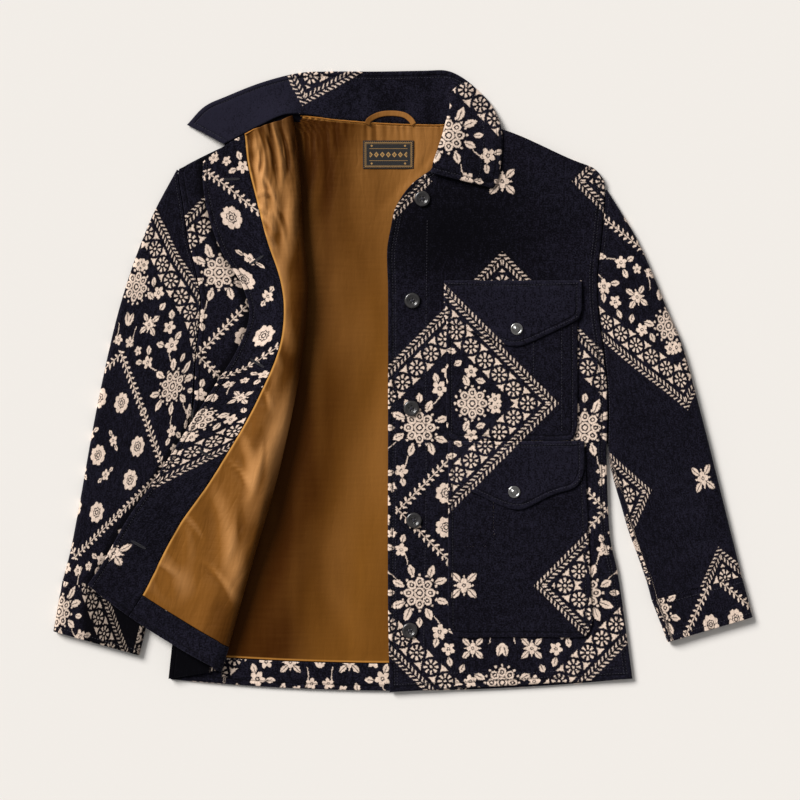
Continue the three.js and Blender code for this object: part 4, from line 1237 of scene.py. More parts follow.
rightFront = buildCloth(
    "rightFront", rightFrontPoint, bodyRows,
    foldGrid(bodyRows, [(0, 1, spread(underLength(bodyRows), 6, sewnSteps, rawSteps)),
                        (1, 2, np.linspace(0, 1, 15)[None]),
                        (2, 3, spread(overLength(bodyRows), 5, rawSteps, rawSteps))]),
    foldedWool, wool, foldPlace({"centre": (-120.6, 30)}), sewn="start", raw="end first last",
    tone=besideEdge)

# The facing is a strip of the printed cloth: y on the jacket, and the place along the strip
facingY = table("y cloth", [[312, 198], [226, 101], [120, 0], [18, -101], [-40, -198], [-109, -287],
                            [-200, -386], [-252, -456], [-360, -600]])


def facingUv(middle, row, column):  # along the facing and across it from the free edge
    level = valueAt(foldRows, "edgeY", row) * 0.5 + middle[..., 1] * 0.5
    along = np.interp(-level, -facingY["y"], facingY["cloth"])
    return points((3 - column) * overLength(row) - 6, along) / 1000


facingWidth = valueAt(foldRows, "facing", bodyRows)
facing = buildCloth(
    "rightFrontFacing", rightFrontPoint, bodyRows,
    foldGrid(bodyRows, [(facingEdge, 3, spread(facingWidth, 3, rawSteps, sewnSteps))]),
    facingWool, wool, facingUv, sewn="end last", raw="start first", base=onFront, rim=0.9, sink=0.5,
    rise=lambda x, y: np.maximum(creaseRise(x, y, facingCreases) + 0.25 * ripple(x, y, 50, 8), -0.1))

flapCreases = table(creaseColumns, [
    [-176, 300, -168, 150, 16, 1.6], [-160, 306, -150, 170, 13, 1.2], [-148, 300, -140, 120, 14, 1.4],
    [-136, 296, -130, 190, 10, 0.9], [-170, 190, -136, 60, 18, 1.4], [-166, 120, -128, 20, 16, 1.1],
    [-150, 60, -160, -60, 18, 1.0], [-128, 10, -176, -120, 20, 1.0], [-190, -60, -176, -150, 16, 0.8],
    [-220, -130, -206, -250, 24, 1.0], [-262, -150, -250, -240, 20, 0.6], [-300, -196, -250, -262, 26, 1.0],
    [-250, -110, -212, -60, 14, 0.8], [-320, -222, -270, -280, 22, 0.7], [-200, -170, -206, -300, 20, 0.6],
    [-184, 232, -176, 176, 10, 0.9], [-156, 240, -158, 150, 9, 0.8],
    [-170, 298, -162, 236, 5.5, 1.1], [-161, 296, -150, 244, 5, -0.9], [-153, 304, -142, 226, 6, 1.2],
    [-142, 298, -135, 240, 4.5, -0.8], [-174, 262, -160, 206, 5.5, 1.0], [-163, 246, -144, 190, 6, 1.1],
    [-178, 214, -152, 180, 5, 0.9], [-174, 190, -150, 156, 5, 0.8], [-150, 210, -132, 160, 6, -0.8],
    [-172, 150, -148, 112, 6, 0.8], [-168, 60, -140, 10, 7, 0.8], [-176, 6, -150, -40, 7, 0.7],
    [-204, -96, -176, -130, 7, 0.7], [-262, -158, -232, -196, 7, 0.7], [-300, -216, -262, -236, 7, 0.6],
    [-236, -216, -196, -262, 8, 0.7], [-160, -70, -176, -150, 8, -0.6], [-190, -150, -204, -230, 9, -0.6],
    [-176, 219, -152, 223, 6, 1.0], [-174, 208, -150, 192, 6, 1.1], [-172, 196, -146, 176, 6, 1.0],
    [-168, 180, -144, 150, 7, 0.9], [-178, 262, -166, 214, 6, 1.0], [-166, 284, -168, 240, 5, -0.9],
])
flapCrown = {"rise": 4.6, "at": -164, "wide": 15}  # the lining stands up along this line under the neck


def flapFolds(x, y):
    reach = smooth((y - 236 - 18 * np.sin(x / 7)) / 60)
    gathers = 0.7 * np.sin((x + 0.12 * y) / 2.3 + 1.6 * np.sin(x / 9 + y / 60)) * reach
    cross = (0.30 * np.sin((y - 0.6 * x) / 3.4 + 2.1 * np.sin(y / 19)) * np.exp(-((x + 174) / 15) ** 2)
             * smooth((y - 40) / 60) * (0.5 + 0.5 * np.sin(y / 13.7)))
    return 2.1 * creaseRise(x, y, flapCreases) + gathers + cross + 0.5 * ripple(x, y, 45, 21)


def flapRise(x, y):
    return flapFolds(x, y) + flapCrown["rise"] * np.exp(-((x - flapCrown["at"]) / flapCrown["wide"]) ** 2)


def coverGrid(rows, turns, spacing, endSteps):  # from under the fold, round it, to the facing's edge
    reach = (liningEdge(rows) - 2) * overLength(rows)
    return foldGrid(rows, [(coverStart, 1, spread(coverReach, 7, rawSteps, rawSteps)),
                           (1, 2, np.linspace(0, 1, turns)[None]),
                           (2, liningEdge, spread(reach, spacing, rawSteps, endSteps))])


def satinPlace(middle, row, column):
    return points(alongRow(row, column), middle[..., 1]) / 1000


frontLiningRows = spread(600, 3.2)[0] * turnUpRow
# the opened lining's folds are painted lighter on crests and darker in troughs, as light and shade
frontLining = buildCloth(
    "rightFrontLining", rightFrontPoint, frontLiningRows, coverGrid(frontLiningRows, 19, 2.6, sewnSteps),
    foldedLining, openSatin, satinPlace, sewn="end", raw="start first last", base=onFront,
    rise=flapRise, tone=evened(flapFolds), stitchAt=2.4, sink=0.25, rim=0.5, pucker=0.5, seed=4)
hemRows = turnUpRow + 0.02 + (foldRowCount - turnUpRow - 0.02) * spread(31, 4, rawSteps, sewnSteps)[0]
frontHem = buildCloth(
    "rightFrontHem", rightFrontPoint, hemRows, coverGrid(hemRows, 13, 4, rawSteps), hemWool, plainWool,
    clothPlace({"centre": (-420, 36), "turn": 8}), sewn="last", raw="start end first", base=onFront, rim=0.7)

# Sleeves: column 2 to 3 is the upper layer, from the inner edge to the outer one
tubeFlat, tubeBend = np.linspace(0, 1, 34)[:-1], np.linspace(0, 1, 9)[:-1]
tubeRing = np.concatenate([tubeFlat, 1 + tubeBend, 2 + tubeFlat, 3 + tubeBend])
tubeRing = np.sort(np.mod(tubeRing - 2, 4)) + 2  # begins at the underarm seam
edgeArc = 16  # cloth that goes round each edge


def tubePlace(rows, wall, place):  # the cloth unrolled round the tube, so that the print runs on underneath
    flat = clothPlace(place)

    def uvOf(middle, row, column):
        outer, inner, width, margin = sleeveEdges(rows, wall, row)
        arc = edgeArc / width
        turn = column - 2
        turn = np.where(turn < 0, turn + 4, turn)
        upper = 1 - margin - (1 - 2 * margin) * turn
        outerTurn = margin - arc * (turn - 1)
        lower = margin - arc - (1 - 2 * margin) * (turn - 2)
        innerTurn = margin - arc - (1 - 2 * margin) - arc * (turn - 3)
        below = np.where(turn <= 3, lower, innerTurn)
        share = np.where(turn <= 1, upper, np.where(turn <= 2, outerTurn, below))
        return flat(outer + (inner - outer) * share[..., None], row, column)
    return uvOf


def buildTube(name, rows, wall, side, length, spacing, place):
    step = tubeStep(side)
    unroll = tubePlace(rows, wall, place)
    down = spread(length, spacing)[0] * (len(rows["outerX"]) - 1)
    return buildCloth(name, sleevePoint(rows, wall, side), down, (step * tubeRing[::step])[None], wall, wool,
                      lambda middle, row, column: unroll(middle, row, step * column), ring=True,
                      rise=sleeveRise, tone=besideEdge if side is leftSide else None)


rightPrint = {"centre": (275.4, 266.4), "turn": 12.7, "stretch": (0.75, 1)}
leftPrint = {"centre": (-361.8, -90), "turn": -12.7, "stretch": (0.65, 1)}
rightSleeve = buildTube("rightSleeve", rightSleeveRows, sleeveWall, rightSide, 480, 3.4, rightPrint)
leftSleeve = buildTube("leftSleeve", leftSleeveRows, sleeveWall, leftSide, 500, 3.4, leftPrint)
rightCuff = buildTube("rightCuff", rightCuffRows, cuffWall, rightSide, 50, 3.2,
                      {**rightPrint, "centre": (401.4, -355.2)})
leftCuff = buildTube("leftCuff", leftCuffRows, cuffWall, leftSide, 62, 3.2,
                     {**leftPrint, "centre": (-492.6, -360)})

collarTurns = (3.7, 9.2)  # rows where the plain wing and the printed wing part from the back
collarFine = np.linspace(0, 15, 200)
collarRun = collarPoint(collarFine[:, None], np.array([[0.8]]))[:, 0]
collarWay = np.concatenate([[0], np.cumsum(np.linalg.norm(np.diff(collarRun, axis=0), axis=1))])
collarSteps = np.interp(spread(collarWay[-1], 2.6)[0] * collarWay[-1], collarWay, collarFine)
collarSteps = np.sort([*collarSteps, *(turn + side for turn in collarTurns for side in (-0.001, 0.001))])
collarPlaces = [clothPlace({"centre": (-430, 460), "turn": 14}),
                clothPlace({"centre": (-32.3, 626.6), "turn": -16}), clothPlace({"centre": (-41.4, 193.2)})]


def collarUv(middle, row, column):
    plainWing, behind, printedWing = (place(middle, row, column) for place in collarPlaces)
    row = row[..., None]
    return np.where(row < collarTurns[0], plainWing, np.where(row < collarTurns[1], behind, printedWing))


# painted light on the collar: lighter towards its left wing, where it tilts towards the light, and in uneven
# patches
collar = buildCloth(
    "jacketCollar", lambda row, column: collarPoint(row, 1 - column), collarSteps,
    spread(66, 2.6, sewnSteps, rawSteps), collarWall, wool, collarUv, sewn="first start last", raw="end",
    rise=lambda x, y: np.maximum(0.5 * ripple(x, y, 60, 31), -0.3),
    tone=lambda x, y: 0.75 * smooth((-60 - x) / 110) + 0.3 * ripple(x, y, 40, 17))

hangerLoop = buildCloth(
    "hangerLoop", lambda row, column: loopPoint(row, 1 - column), np.linspace(0, 6, 70),
    spread(loopWidth, 1.2, rawSteps, rawSteps), loopWall, satin, clothPlace({"centre": (0, 0)}),
    raw="start end first last", rim=0.6)


def labelPoint(row, column):
    left, low = labelLook["corner"]
    return points(left + labelLook["wide"] * column, low + labelLook["high"] * row,
                  backLiningHeight + liningCloth / 2 + gap + labelWall / 2)


def labelUv(middle, row, column):
    return points(labelLook["wide"] * column, labelLook["high"] * row) / 1000


neckLabel = buildCloth("neckLabel", labelPoint, spread(labelLook["high"], 1.2, rawSteps, rawSteps)[0],
                       spread(labelLook["wide"], 1.5, rawSteps, rawSteps), labelWall, labelWeave, labelUv,
                       raw="start end first last", rim=0.5)
print("cloth ready")


def joined(first, second):  # one mesh from two cloth pieces of one cut
    merged = bmesh.new()
    merged.from_mesh(first.data)
    merged.from_mesh(second.data)
    merged.to_mesh(first.data)
    merged.free()
    bpy.data.objects.remove(second)


# Seam allowances: dark strips inside the joints, so that no light passes between two sewn edges
allowance = {"inside": 9, "outside": 8, "thick": 0.9, "plainSpot": (0.303, 0.091)}


def along(line, row):  # the place at a row of a line of points
    k = np.clip(np.floor(row), 0, len(line) - 2).astype(int)
    return line[k] + (line[k + 1] - line[k]) * (row - k)[..., None]


def armholeAllowance(rows, wall, side):
    turn, step = np.linspace(2.0, 3.0, 60), tubeStep(side)
    surface = sleevePoint(rows, wall, side)
    upper, further = surface(np.zeros(60), step * turn), surface(np.full(60, 0.3), step * turn)
    lower = surface(np.zeros(60), step * (3 - turn))
    way = further - upper
    way[:, 2] = 0
    way /= np.linalg.norm(way, axis=1, keepdims=True)
    middle = upper.copy()
    middle[:, 2] = upper[:, 2] * 0.55 + lower[:, 2] * 0.45

    def point(row, column):
        reach = allowance["inside"] + allowance["outside"]
        return along(middle, row) + along(way, row) * (column * reach - allowance["inside"])[..., None]
    return point


def strip(name, point, count, columns):
    x, y = allowance["plainSpot"]
    return buildCloth(name, lambda row, column: point(*np.broadcast_arrays(row, column)),
                      np.arange(count, dtype=float), columns, allowance["thick"], plainWool,
                      lambda middle, row, column: points(x + 0 * row, y + 0 * row))


def meshPoints(piece):
    places = np.empty(len(piece.data.vertices) * 3)
    piece.data.vertices.foreach_get("co", places)
    return places.reshape(-1, 3)


def surfaceOf(*pieces):  # a surface to drop trims on
    places, faces, first = [], [], 0
    for piece in pieces:
        loops = np.empty(len(piece.data.loops), np.int32)
        piece.data.loops.foreach_get("vertex_index", loops)
        starts = np.empty(len(piece.data.polygons), np.int32)
        piece.data.polygons.foreach_get("loop_start", starts)
        places.append(meshPoints(piece))
        faces.append(loops[starts[:, None] + np.arange(4)] + first)
        first += len(piece.data.vertices)
    return BVHTree.FromPolygons(np.concatenate(places).tolist(), np.concatenate(faces).tolist())


def drop(surface, x, y):  # the place on a surface under x, y, in metres, and how it faces
    start = Vector(((x + originShift[0]) / 1000, (y + originShift[1]) / 1000, 0.08))
    hit, normal, _, _ = surface.ray_cast(start, Vector((0, 0, -1)))
    return (hit, normal) if hit is not None else (None, None)


def dropLine(surface, places, step=1.6, lift=0.0002):
    line = []
    for (x1, y1), (x2, y2) in zip(places[:-1], places[1:]):
        count = max(int(math.hypot(x2 - x1, y2 - y1) / step), 1)
        line += [(x1 + (x2 - x1) * k / count, y1 + (y2 - y1) * k / count) for k in range(count)]
    line.append(places[-1])
    dropped = [drop(surface, x, y) for x, y in line]
    return [hit + normal * lift for hit, normal in dropped if hit is not None]


def seamLine(piece, border, at=5, cuts=(5, 5), lift=0.00025):  # along a sewn border's groove, on its face
    tall, wide = piece["grid"]
    face = meshPoints(piece)[tall * wide:2 * tall * wide].reshape(tall, wide, 3)
    line = {"start": face[:, at], "end": face[:, -1 - at], "first": face[at], "last": face[-1 - at]}[border]
    return [Vector(p) + Vector((0, 0, lift)) for p in line[cuts[0]:len(line) - cuts[1]]]


def growTree(name, *inputs):  # a Geometry Nodes tree, its inputs' identifiers and a call that adds nodes
    tree = bpy.data.node_groups.new(name, "GeometryNodeTree")
    sockets = {}
    for title, kind in (("Geometry", "Geometry"), *inputs):
        socket = tree.interface.new_socket(name=title, in_out="INPUT", socket_type="NodeSocket" + kind)
        sockets[title] = socket.identifier
    tree.interface.new_socket(name="Geometry", in_out="OUTPUT", socket_type="NodeSocketGeometry")

    def node(kind, **given):
        made = tree.nodes.new(kind)
        for key, value in given.items():
            setattr(made, key, value)
        return made

    return tree, sockets, node, node("NodeGroupInput")


def finishTree(tree, node, placed, material):
    real, finish = node("GeometryNodeRealizeInstances"), node("GeometryNodeSetMaterial")
    tree.links.new(placed.outputs[0], real.inputs[0])
    tree.links.new(real.outputs[0], finish.inputs[0])
    tree.links.new(material, finish.inputs["Material"])
    tree.links.new(finish.outputs[0], node("NodeGroupOutput").inputs[0])


# Stitches: one bead of thread after another along each line
def stitchTree():
    tree, sockets, node, given = growTree(
        "stitchRow", ("Spacing", "Float"), ("Length", "Float"), ("Width", "Float"), ("Height", "Float"),
        ("Seed", "Int"), ("Thread", "Material"))
    link = tree.links.new
    curve = node("GeometryNodeMeshToCurve")
    link(given.outputs["Geometry"], curve.inputs[0])
    beads = node("GeometryNodeResampleCurve", mode="LENGTH")
    link(curve.outputs[0], beads.inputs["Curve"])
    link(given.outputs["Spacing"], beads.inputs["Length"])
    tangent = node("GeometryNodeInputTangent")
    along = node("FunctionNodeAlignRotationToVector", axis="X")
    link(tangent.outputs[0], along.inputs["Vector"])
    upright = node("FunctionNodeAlignRotationToVector", axis="Z", pivot_axis="X")
    link(along.outputs[0], upright.inputs["Rotation"])
    upright.inputs["Vector"].default_value = (0, 0, 1)
    size = node("ShaderNodeCombineXYZ")
    for k, name in enumerate(("Length", "Width", "Height")):
        link(given.outputs[name], size.inputs[k])
    uneven = node("FunctionNodeRandomValue", data_type="FLOAT")
    uneven.inputs[2].default_value, uneven.inputs[3].default_value = 0.82, 1.12
    link(given.outputs["Seed"], uneven.inputs["Seed"])
    scaled = node("ShaderNodeVectorMath", operation="SCALE")
    link(size.outputs[0], scaled.inputs[0])
    link(uneven.outputs[1], scaled.inputs["Scale"])
    bead = node("GeometryNodeMeshUVSphere")
    bead.inputs["Segments"].default_value, bead.inputs["Rings"].default_value = 6, 3
    bead.inputs["Radius"].default_value = 0.5
    placed = node("GeometryNodeInstanceOnPoints")
    link(beads.outputs[0], placed.inputs["Points"])
    link(bead.outputs["Mesh"], placed.inputs["Instance"])
    link(upright.outputs[0], placed.inputs["Rotation"])
    link(scaled.outputs[0], placed.inputs["Scale"])
    finishTree(tree, node, placed, given.outputs["Thread"])
    return tree, sockets


stitchRow, stitchSockets = stitchTree()


def grown(name, mesh, tree, sockets, values):  # the plain mesh that a node tree makes from a few points
    host = stand(name + "Points", mesh)
    modifier = host.modifiers.new("grow", "NODES")
    modifier.node_group = tree
    for key, value in values.items():
        modifier[sockets[key]] = value
    graph = bpy.context.evaluated_depsgraph_get()
    result = bpy.data.meshes.new_from_object(host.evaluated_get(graph))
    host.modifiers.clear()
    bpy.data.objects.remove(host)
    result.name = name
    result.polygons.foreach_set("use_smooth", np.ones(len(result.polygons), bool))
    return stand(name, result)


def stitched(name, lines, thread, spacing=0.0034, length=0.0026, width=0.0008, height=0.0006, seed=3):
    vertices, edges = [], []
    for line in lines:
        first = len(vertices)
        vertices += line
        edges += [(first + k, first + k + 1) for k in range(len(line) - 1)]
    mesh = bpy.data.meshes.new(name + "Points")
    mesh.from_pydata(vertices, edges, [])
    return grown(name, mesh, stitchRow, stitchSockets, {
        "Spacing": spacing, "Length": length, "Width": width, "Height": height, "Seed": seed,
        "Thread": thread})


# Buttons and snaps: one of each is turned on its own axis, then set on its points
def sewnOnTree():
    tree, sockets, node, given = growTree(
        "sewnOn", ("Item", "Object"), ("Turn", "Float"), ("Seed", "Int"), ("Finish", "Material"))
    link = tree.links.new
    item = node("GeometryNodeObjectInfo")
    link(given.outputs["Item"], item.inputs["Object"])
    turn = node("FunctionNodeRandomValue", data_type="FLOAT")
    turn.inputs[2].default_value = 0
    link(given.outputs["Turn"], turn.inputs[3])
    link(given.outputs["Seed"], turn.inputs["Seed"])
    spin = node("ShaderNodeCombineXYZ")
    link(turn.outputs[1], spin.inputs[2])
    placed = node("GeometryNodeInstanceOnPoints")
    link(given.outputs["Geometry"], placed.inputs["Points"])
    link(item.outputs["Geometry"], placed.inputs["Instance"])
    link(spin.outputs[0], placed.inputs["Rotation"])
    finishTree(tree, node, placed, given.outputs["Finish"])
    return tree, sockets


sewnOn, sewnOnSockets = sewnOnTree()


def turnedMesh(name, profile, sides=48, relief=None):  # profile runs from the top's middle to the foot's
    vertices, faces = [], []
    for r, z in profile[1:-1]:
        for k in range(sides):
            angle = math.tau * k / sides
            x, y = r * math.cos(angle), r * math.sin(angle)
            vertices.append((x / 1000, y / 1000, (z - (relief(x, y) if relief and z > 1 else 0)) / 1000))
    count = len(profile) - 2
    for i in range(count - 1):
        for k in range(sides):
            n = (k + 1) % sides
            faces.append((i * sides + k, (i + 1) * sides + k, (i + 1) * sides + n, i * sides + n))
    top, low = len(vertices), len(vertices) + 1
    vertices += [(0, 0, profile[0][1] / 1000), (0, 0, profile[-1][1] / 1000)]
    faces += [(top, k, (k + 1) % sides) for k in range(sides)]
    base = (count - 1) * sides
    faces += [(low, base + (k + 1) % sides, base + k) for k in range(sides)]
    mesh = bpy.data.meshes.new(name)
    mesh.from_pydata(vertices, [], faces)
    mesh.update()
    return mesh


def setOn(name, mesh, places, finish, turn, seed=2):
    item = stand(name + "Item", mesh)
    spots = bpy.data.meshes.new(name + "Points")
    spots.from_pydata(places, [], [])
    piece = grown(name, spots, sewnOn, sewnOnSockets,
                  {"Item": item, "Turn": turn, "Seed": seed, "Finish": finish})
    bpy.data.objects.remove(item)
    return piece


buttonLook = {"holes": 1.8, "holeRadius": 0.95, "holeDepth": 1.35}
seatGap = 0.2  # between a button or snap and its cloth


def buttonHoleDepth(x, y):
    away = math.hypot(abs(x) - buttonLook["holes"], abs(y) - buttonLook["holes"])
    inside = float(smooth(np.array((buttonLook["holeRadius"] + 0.25 - away) / 0.4)))
    return buttonLook["holeDepth"] * inside


buttonProfile = [
    (0, 1.75), *((0.3 * k, 1.75 + 0.012 * (0.3 * k) ** 2) for k in range(1, 16)),
    (5.1, 2.25), (5.6, 2.7), (6.1, 3.15), (6.7, 3.36), (7.4, 3.4), (8.1, 3.26), (8.7, 2.95), (9.15, 2.45),
    (9.42, 1.8), (9.45, 1.2), (9.2, 0.6), (8.6, 0.2), (7.6, 0.0), (0, 0.0),
]
snapProfile = [
    (0, 3.05), (0.8, 3.0), (1.6, 2.88), (2.4, 2.62), (3.1, 2.2), (3.6, 1.75), (3.9, 1.25), (4.1, 0.9),
    (4.5, 0.8), (4.9, 0.9), (5.3, 1.25), (5.9, 1.5), (6.5, 1.5), (7.0, 1.22), (7.35, 0.8), (7.45, 0.3),
    (7.3, 0.0), (0, 0.0),
]


strandLook = {"reach": 2.75, "thick": 0.33, "apart": 0.32, "height": 2.05, "bend": 0.09, "crossing": 0.12}


def crossThread(name):  # four strands of thread over the button's middle
    look, strands = strandLook, bmesh.new()
    for turn in (45, -45):
        c, s = math.cos(math.radians(turn)), math.sin(math.radians(turn))
        for side in (-look["apart"], look["apart"]):
            for v in bmesh.ops.create_icosphere(strands, subdivisions=2, radius=1)["verts"]:
                x, y, z = v.co.x * look["reach"], v.co.y * look["thick"] + side, v.co.z * look["thick"]
                z += look["height"] - look["bend"] * x * x + (look["crossing"] if turn > 0 else 0)
                v.co = ((x * c - y * s) / 1000, (x * s + y * c) / 1000, z / 1000)
    mesh = bpy.data.meshes.new(name)
    strands.to_mesh(mesh)
    strands.free()
    return mesh


def spotsOn(surface, places):
    return [drop(surface, *place)[0] + Vector((0, 0, seatGap / 1000)) for place in places]


frontSurface = surfaceOf(leftFront, chestPocket, chestFlap, lowerPocket, lowerFlap)
buttonSpots, snapSpots = spotsOn(frontSurface, buttonPlaces), spotsOn(frontSurface, snapPlaces)
frontButtons = setOn("frontButtons", turnedMesh("button", buttonProfile, relief=buttonHoleDepth),
                     buttonSpots, buildHorn("buttonHorn"), 0.9)
buttonThreads = setOn("buttonThreads", crossThread("buttonThread"), buttonSpots, navyThread, 0.9)
flapSnaps = setOn("flapSnaps", turnedMesh("snap", snapProfile), snapSpots, buildNickel("snapNickel"), 0.0)
print("fasteners ready")

# Topstitching in navy, and the lining's and label's in gold
frontStitches = [[(32, 190), (31, 100), (30, 0), (31, -120), (29, -240), (27, -352)],
                 [(34, -351), (150, -351), (262, -345)]]  # beside the front edge and above the hem
pocketStitches = [[(159, 44), (159, -62)], [(193, 68), (193, -60)]]  # both sides of a pencil pocket
frontOnly, pocketOnly = surfaceOf(leftFront), surfaceOf(chestPocket)
navyLines = [dropLine(frontOnly, places) for places in frontStitches]
navyLines += [dropLine(pocketOnly, places) for places in pocketStitches]
for piece, borders in (
        (leftFront, "start end first"), (chestPocket, "start end last"), (lowerPocket, "start end last"),
        (chestFlap, "start end first last"), (lowerFlap, "start end first last"), (facing, "end"),
        (collar, "first start last"), (back, "start end first")):
    navyLines += [seamLine(piece, border) for border in borders.split()]
for piece in (leftFront, back):
    navyLines += [seamLine(piece, border, 7) for border in ("start", "end")]
for piece, border in ((rightSleeve, "first"), (leftSleeve, "first"), (rightCuff, "last"),
                      (leftCuff, "last"), (rightCuff, "first"), (leftCuff, "first")):
    navyLines.append(seamLine(piece, border, cuts=(0, 0)))
topStitching = stitched("topStitching", navyLines, navyThread)
labelSurface = surfaceOf(neckLabel)
labelX, labelY = ((low + labelLook["sewnAt"], low + size - labelLook["sewnAt"])
                  for low, size in zip(labelLook["corner"], (labelLook["wide"], labelLook["high"])))
labelRound = [(labelX[i], labelY[j]) for i, j in ((0, 0), (1, 0), (1, 1), (0, 1), (0, 0))]
goldLines = [dropLine(labelSurface, labelRound, lift=0.0001),
             seamLine(backLining, "last", at=4, cuts=(3, 3), lift=0.0001)]
goldStitching = stitched("goldStitching", goldLines, goldThread,
                         spacing=0.0024, length=0.0018, width=0.0005, height=0.0004, seed=5)

# Buttonholes across the facing: a near-black sheet as painted shade in each slit, in a ring of close thread
buttonholeLook = {"places": [(-202, 240), (-172, 143), (-171, 20), (-234.6, -87.6), (-313, -197)],
                  "length": 19, "open": 0.7}
facingSurface = surfaceOf(facing)


def buttonholes():
    rings, vertices, faces = [], [], []
    fine, length = np.linspace(0, foldRowCount, 200), buttonholeLook["length"]
    for x, y in buttonholeLook["places"]:
        row = float(np.interp(-y, -valueAt(foldRows, "edgeY", fine), fine))
        edge = [valueAt(foldRows, "edge" + axis, np.array([row - 0.3, row + 0.3])) for axis in "XY"]
        way = Vector((edge[0][1] - edge[0][0], edge[1][1] - edge[1][0])).normalized()
        way = Vector((-way.y, way.x))  # square to the free edge
        side = Vector((-way.y, way.x))

        def spot(run, reach):  # on the facing, so far along the buttonhole and beside it
            return drop(facingSurface, x + way.x * run + side.x * reach, y + way.y * run + side.y * reach)

        angles = [math.tau * k / 28 for k in range(28)]
        ring = [spot(math.cos(angle) * length / 2, math.sin(angle)) for angle in angles + angles[:1]]
        rings.append([hit + normal * 0.0002 for hit, normal in ring if hit is not None])
        first = len(vertices)
        for run in np.linspace(-1, 1, 15):
            for across in (-1, 0, 1):
                reach = buttonholeLook["open"] * across * math.sqrt(max(1 - run ** 2, 0.02))
                hit, _ = spot(run * length * 0.47, reach)
                lift = Vector((0, 0, 0.00025 if across else 0.0003))
                vertices.append((hit if hit is not None else vertices[-1]) + lift)
        for k in range(14):
            for n in range(2):
                corner = first + 3 * k + n
                faces.append((corner, corner + 3, corner + 4, corner + 1))
    mesh = bpy.data.meshes.new("buttonholeSlits")
    mesh.from_pydata(vertices, [], faces)
    mesh.materials.append(buildThread("slitShade", (0.0008, 0.0007, 0.001), (0.002, 0.0018, 0.003)))
    slits = stand("buttonholeSlits", mesh)
    return slits, stitched("buttonholeThreads", rings, greyThread,
                           spacing=0.0009, length=0.0011, width=0.0019, height=0.0006, seed=9)


buttonholeSlits, buttonholeThreads = buttonholes()

# Satin edging round the neck seam
edging = {"radius": 0.85, "inward": 1.6, "sides": 8}


def edgingCord(name, line, radius, sides):
    vertices, faces = [], []
    for k, p in enumerate(line):
        way = (line[min(k + 1, len(line) - 1)] - line[max(k - 1, 0)]).normalized()
        across = way.cross(Vector((0, 0, 1))).normalized()
        up = across.cross(way)
        swell = radius * (1 + 0.12 * math.sin(k * 1.7) + 0.08 * math.sin(k * 0.53))
        for n in range(sides):
            angle = math.tau * n / sides
            vertices.append(p + (across * math.cos(angle) + up * math.sin(angle)) * swell)
    for k in range(len(line) - 1):
        for n in range(sides):
            m = (n + 1) % sides
            faces.append((k * sides + n, k * sides + m, (k + 1) * sides + m, (k + 1) * sides + n))
    faces += [tuple(reversed(range(sides))), tuple(range(len(vertices) - sides, len(vertices)))]
    mesh = bpy.data.meshes.new(name)
    mesh.from_pydata(vertices, [], faces)
    fixed = bmesh.new()
    fixed.from_mesh(mesh)
    bmesh.ops.recalc_face_normals(fixed, faces=fixed.faces)
    fixed.to_mesh(mesh)
    fixed.free()
    uv = mesh.uv_layers.new(name="cloth")
    for polygon in mesh.polygons:
        polygon.use_smooth = True
        for loop, index in zip(polygon.loop_indices, polygon.vertices):
            uv.data[loop].uv = (index % sides / 1000, index // sides * 0.0012)
    mesh.materials.append(cordSatin)
    return stand(name, mesh)


liningSurface = surfaceOf(backLining, frontLining)
neckRun = collarPoint(np.linspace(0, 15, 260), np.zeros(260))
neckRun = neckRun[neckRun[:, 0] < 53]
neckSteps = [(x, y - edging["inward"]) for x, y, _ in neckRun]
neckHits = [drop(liningSurface, x, y)[0] for x, y in neckSteps]
neckLine = [hit + Vector((0, 0, 0.0006)) for hit in neckHits if hit is not None]
neckEdging = edgingCord("neckEdging", neckLine, edging["radius"] / 1000, edging["sides"])

for sleeve, rows, side in ((rightSleeve, rightSleeveRows, rightSide), (leftSleeve, leftSleeveRows, leftSide)):
    joined(sleeve, strip(sleeve.name + "Allowance", armholeAllowance(rows, sleeveWall, side), 60,
                         spread(17, 4, rawSteps, rawSteps)))
neckStart = neckRun[neckRun[:, 0] < -96]


def neckAllowance(row, column):
    return along(neckStart, row) + points(0 * column, 4 - 13 * column, -2.2 - 1.2 * column)


joined(collar, strip("neckAllowance", neckAllowance, len(neckStart), spread(13, 4, rawSteps, rawSteps)))
print("trims ready")

